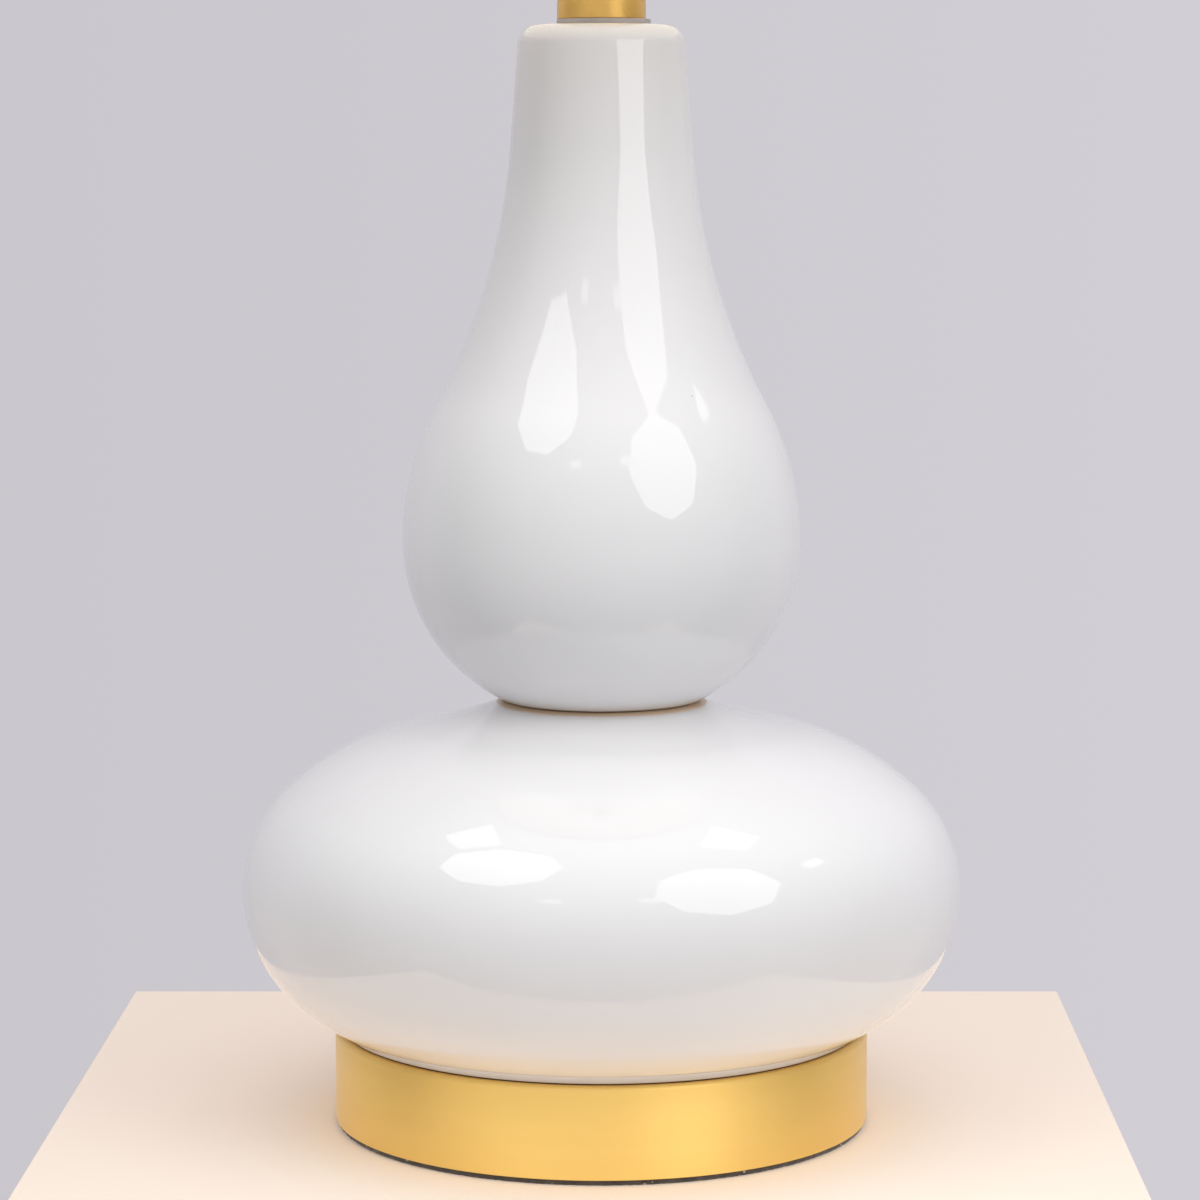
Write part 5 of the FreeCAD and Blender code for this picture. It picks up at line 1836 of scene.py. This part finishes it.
@dataclass
class Finial(SubAssembly):
    """The turned finial and the brass washer under it."""

    foot_z: float = 618.563
    foot_radius: float = 6.0
    foot_height: float = 4.0
    foot_round: float = 0.5
    waist: float = 4.4
    waist_height: float = 7.0
    waist_round: float = 0.6
    ball: float = 8.5
    ball_cuts: int = 24
    tip: float = 2.2
    tip_height: float = 3.0
    tip_cuts: int = 6
    bore: float = 3.255
    bore_depth: float = 10.8
    steps: int = 96

    def build(self) -> None:
        """Builds the finial: foot with a bead, hollow waist, ball and tip."""
        foot_top = self.foot_z + self.foot_height
        waist_top = foot_top + self.waist_height
        ball_z = waist_top + math.sqrt(self.ball ** 2 - self.waist ** 2)
        tip_z = ball_z + math.sqrt(self.ball ** 2 - self.tip ** 2)
        dome_z = tip_z + self.tip_height - self.tip
        start = (self.bore, self.foot_z)
        foot = (self.foot_radius, self.foot_z)
        bead = (self.foot_radius, self.foot_z + self.foot_height / 2)
        waist_low, waist_high = (self.waist, foot_top), (self.waist, waist_top)
        outline = [start]
        outline += rounded(foot, start, bead, self.foot_round)
        outline += rounded(bead, foot, waist_low, self.foot_round)
        outline += rounded(waist_low, bead, waist_high, self.waist_round)
        outline.append(waist_high)
        low = math.asin(self.waist / self.ball)
        high = math.pi - math.asin(self.tip / self.ball)
        for index in range(1, self.ball_cuts + 1):
            angle = low + (high - low) * index / self.ball_cuts
            outline.append((self.ball * math.sin(angle), ball_z - self.ball * math.cos(angle)))
        outline.append((self.tip, dome_z))
        for index in range(1, self.tip_cuts):
            angle = math.pi / 2 * index / self.tip_cuts
            outline.append((self.tip * math.cos(angle), dome_z + self.tip * math.sin(angle)))
        roof = self.foot_z + self.bore_depth
        outline += [(0.0, dome_z + self.tip), (0.0, roof), (self.bore, roof), start]
        knob = turn("finial_turned", outline, self.steps)
        smooth(knob, degrees=40)
        self.pieces["knob"] = knob

    def dress(self) -> None:
        """Dresses the finial and its washer."""
        settle(self.pieces["knob"], Body.FINIAL, "satin_gold", POLISHED_BRASS, "finial_knob")
        coat(POLISHED_BRASS, "finial_seat")


# The studio


class Panel(Enum):
    """The outlines of the studio's lights, by their number of corners."""

    SQUARE = 4
    OCTAGON = 8


@dataclass(frozen=True)
class Lamp:
    """A flat studio light that the glaze mirrors.

    strength is how bright its mirror image is, and cast is how bright the light it throws is.
    It looks at its aim, or straight down where it has none. roll turns it in its own plane, in
    degrees.
    """

    name: str
    middle: Place
    radius: float
    strength: float
    cast: float
    panel: Panel = Panel.OCTAGON
    roll: float = 0.0
    colour: Colour = (1.0, 1.0, 1.0)
    aim: Place | None = (0.0, 0.0, 0.22)

    def hang(self) -> None:
        """Builds the light's glowing face and turns it to its aim."""
        put_down()
        bpy.ops.mesh.primitive_circle_add(vertices=self.panel.value, radius=self.radius, fill_type="NGON")
        face = bpy.context.object
        face.name = self.name
        open_mesh(face)
        bpy.ops.transform.rotate(value=-math.radians(self.roll), orient_axis="Z", center_override=(0, 0, 0))
        put_down()
        way = Vector((0, 0, -1)) if self.aim is None else Vector(self.aim) - Vector(self.middle)
        face.rotation_euler = way.to_track_quat("Z", "Y").to_euler()
        face.location = self.middle
        face.data.materials.append(self.glow())
        face.visible_camera = False
        face.visible_shadow = False

    def glow(self) -> bpy.types.Material:
        """Makes a material that glows on the face's front and is clear on its back.

        Returns:
            The material.
        """
        made = bpy.data.materials.new(self.name)
        made.use_nodes = True
        nodes = made.node_tree.nodes
        nodes.remove(nodes["Principled BSDF"])
        graph = Graph(made.node_tree)
        mirrored = graph.node("ShaderNodeLightPath").outputs["Is Glossy Ray"]
        extra = graph.math("MULTIPLY", mirrored, self.strength - self.cast)
        level = graph.math("ADD", extra, self.cast)
        light = graph.node("ShaderNodeEmission", {"Color": rgba(self.colour), "Strength": level})
        clear = graph.node("ShaderNodeBsdfTransparent")
        side = graph.node("ShaderNodeNewGeometry").outputs["Backfacing"]
        both = graph.node("ShaderNodeMixShader", {0: side, 1: light.outputs[0], 2: clear.outputs[0]})
        graph.feed(nodes["Material Output"].inputs["Surface"], both.outputs[0])
        return made


@dataclass(frozen=True)
class Bounce:
    """Soft light that one side of the room sends back, strongest from straight along its way."""

    way: Place
    colour: Colour


@dataclass
class Studio:
    """The plinth, the plain backdrop, the lights and the camera.

    The backdrop turns from its left to its right colour over the middle of the view, as wide as
    backdrop_turn says. gleam is a part of the room that only mirrored rays see.
    """

    backdrop_left: Colour = (0.588, 0.571, 0.610)
    backdrop_right: Colour = (0.640, 0.615, 0.660)
    backdrop_turn: Range = (-0.15, 0.15)
    room_turn: Range = (0.0, 0.5)
    ambient: Colour = (0.19, 0.197, 0.215)
    room: tuple[Bounce, ...] = (
        Bounce((0, 0, 1), (1.10, 1.11, 1.08)),
        Bounce((0, -0.7071, 0.7071), (0.17, 0.165, 0.165)),
        Bounce((0, -1, 0), (0.18, 0.172, 0.172)),
        Bounce((1, 0, 0), (0.09, 0.095, 0.10)),
    )
    gleam: Bounce = Bounce((0, -1, 0), (0.22, 0.22, 0.23))
    plinth_corners: tuple[Point, ...] = ((-0.1975, -0.190), (0.1805, -0.190), (0.187, 0.204), (-0.191, 0.204))
    plinth_height: float = 0.5
    plinth_edge: float = 0.001
    panel_height: float = 2.4
    panel_colour: Colour = (0.95, 0.96, 1.0)
    panel_spots: tuple[Point, ...] = (
        (-1.06, 0.08), (1.08, 0.05), (2.83, -0.13), (-1.03, -3.40), (0.98, -3.28))
    camera_distance: float = 1.364
    camera_height: float = 0.350
    camera_side: float = -0.0005
    camera_tilt: float = 6.859
    camera_reach: float = 50.0
    sensor_width: float = 36.0
    focal_share: float = 3899.0 / 1200.0

    def room_light(self, graph: Graph, way: Output) -> Output:
        """Adds up what the room sends back from each of its sides.

        Args:
            graph: The world's graph.
            way: The direction that a ray leaves in.

        Returns:
            The room's colour in that direction.
        """
        colour = graph.node("ShaderNodeRGB").outputs[0]
        colour.default_value = rgba(self.ambient)
        mirrored = graph.node("ShaderNodeLightPath").outputs["Is Glossy Ray"]
        for side in (*self.room, self.gleam):
            facing = graph.node("ShaderNodeVectorMath", {0: way, 1: side.way}, operation="DOT_PRODUCT")
            share = graph.math("MAXIMUM", facing.outputs["Value"], 0.0)
            if side is self.gleam:
                share = graph.math("MULTIPLY", share, mirrored)
            part = graph.node("ShaderNodeVectorMath", {0: side.colour, "Scale": share}, operation="SCALE")
            both = {0: colour, 1: part.outputs[0]}
            colour = graph.node("ShaderNodeVectorMath", both, operation="ADD").outputs[0]
        return colour

    def paint_world(self) -> None:
        """Sets the plain backdrop, a little lighter to the right, and the room that lights the lamp."""
        world = bpy.data.worlds.new("studio")
        bpy.context.scene.world = world
        world.use_nodes = True
        world.node_tree.nodes.clear()
        graph = Graph(world.node_tree)
        way = graph.node("ShaderNodeTexCoord").outputs["Generated"]
        parts = graph.parts(way)
        # Painted light: the backdrop is a little lighter to the right.
        across = graph.span(parts["X"], self.backdrop_turn)
        behind = graph.span(parts["Y"], self.room_turn)
        colour = graph.mix(across, rgba(self.backdrop_left), rgba(self.backdrop_right))
        around = graph.mix(behind, self.room_light(graph, way), colour)
        shown = graph.node("ShaderNodeBackground", {"Color": colour, "Strength": 1.0})
        room = graph.node("ShaderNodeBackground", {"Color": around, "Strength": 1.0})
        rays = graph.node("ShaderNodeLightPath").outputs
        seen = graph.math("MAXIMUM", rays["Is Camera Ray"], rays["Is Transmission Ray"])
        both = graph.node("ShaderNodeMixShader", {0: seen, 1: room.outputs[0], 2: shown.outputs[0]})
        graph.node("ShaderNodeOutputWorld", {"Surface": both.outputs[0]})

    def build_plinth(self) -> None:
        """Builds the pale plinth that the lamp stands on, with eased edges."""
        put_down()
        bpy.ops.mesh.primitive_cube_add(size=1.0)
        plinth = bpy.context.object
        plinth.name = "plinth"
        quarters = ((False, False), (True, False), (True, True), (False, True))
        for vertex in plinth.data.vertices:
            x, y, z = vertex.co
            corner = self.plinth_corners[quarters.index((x > 0, y > 0))]
            vertex.co = (*corner, 0.0 if z > 0 else -self.plinth_height)
        work(plinth, "BEVEL", width=self.plinth_edge, segments=2)
        smooth(plinth)
        plinth.data.materials.append(PLINTH_PAINT.material())

    def lights(self) -> list[Lamp]:
        """Lists the studio's lights: two softboxes near the lamp and the panels in the ceiling.

        Returns:
            The lights.
        """
        left = Lamp(
            "softbox_left", (-0.412, -0.417, 0.889), radius=0.279, strength=3.1, cast=1.8, roll=18.9)
        right = Lamp(
            "softbox_right", (0.480, -0.577, 0.615), radius=0.307, strength=2.9, cast=2.7, roll=2.0)
        panels = [
            Lamp(
                f"ceiling_panel_{index}", (*spot, self.panel_height), radius=0.335, strength=2.6, cast=2.4,
                panel=Panel.SQUARE, roll=45.0, colour=self.panel_colour, aim=None)
            for index, spot in enumerate(self.panel_spots)
        ]
        return [left, right, *panels]

    def set_camera(self) -> None:
        """Places the camera at the photograph's viewing angle."""
        data = bpy.data.cameras.new("view")
        data.sensor_width = self.sensor_width
        data.lens = self.sensor_width * self.focal_share
        data.clip_end = self.camera_reach
        camera = bpy.data.objects.new("view", data)
        bpy.context.collection.objects.link(camera)
        camera.location = (self.camera_side, -self.camera_distance, self.camera_height)
        camera.rotation_euler = (math.radians(90.0 - self.camera_tilt), 0.0, 0.0)
        bpy.context.scene.camera = camera

    def set_up(self) -> None:
        """Sets up the whole studio."""
        bpy.context.scene.view_settings.view_transform = "Standard"
        self.paint_world()
        self.build_plinth()
        lights = self.lights()
        for light in lights:
            light.hang()
        self.set_camera()
        LOG.info("studio: plinth, %d lights and the camera", len(lights))


def write_sizes() -> None:
    """Updates the view layer."""
    bpy.context.view_layer.update()


def main() -> None:
    """Builds the studio and the lamp from the base up, and dresses every piece."""
    logging.basicConfig(level=logging.INFO, format="%(name)s: %(message)s", stream=sys.stdout)
    Studio().set_up()
    for group in (Base(), GourdStack(), Neck(), Socket(), Bulb(), Shade(), Finial()):
        group.build()
        group.dress()
        LOG.info("%s done", type(group).__name__)
    write_sizes()


if __name__ == "__main__":
    main()
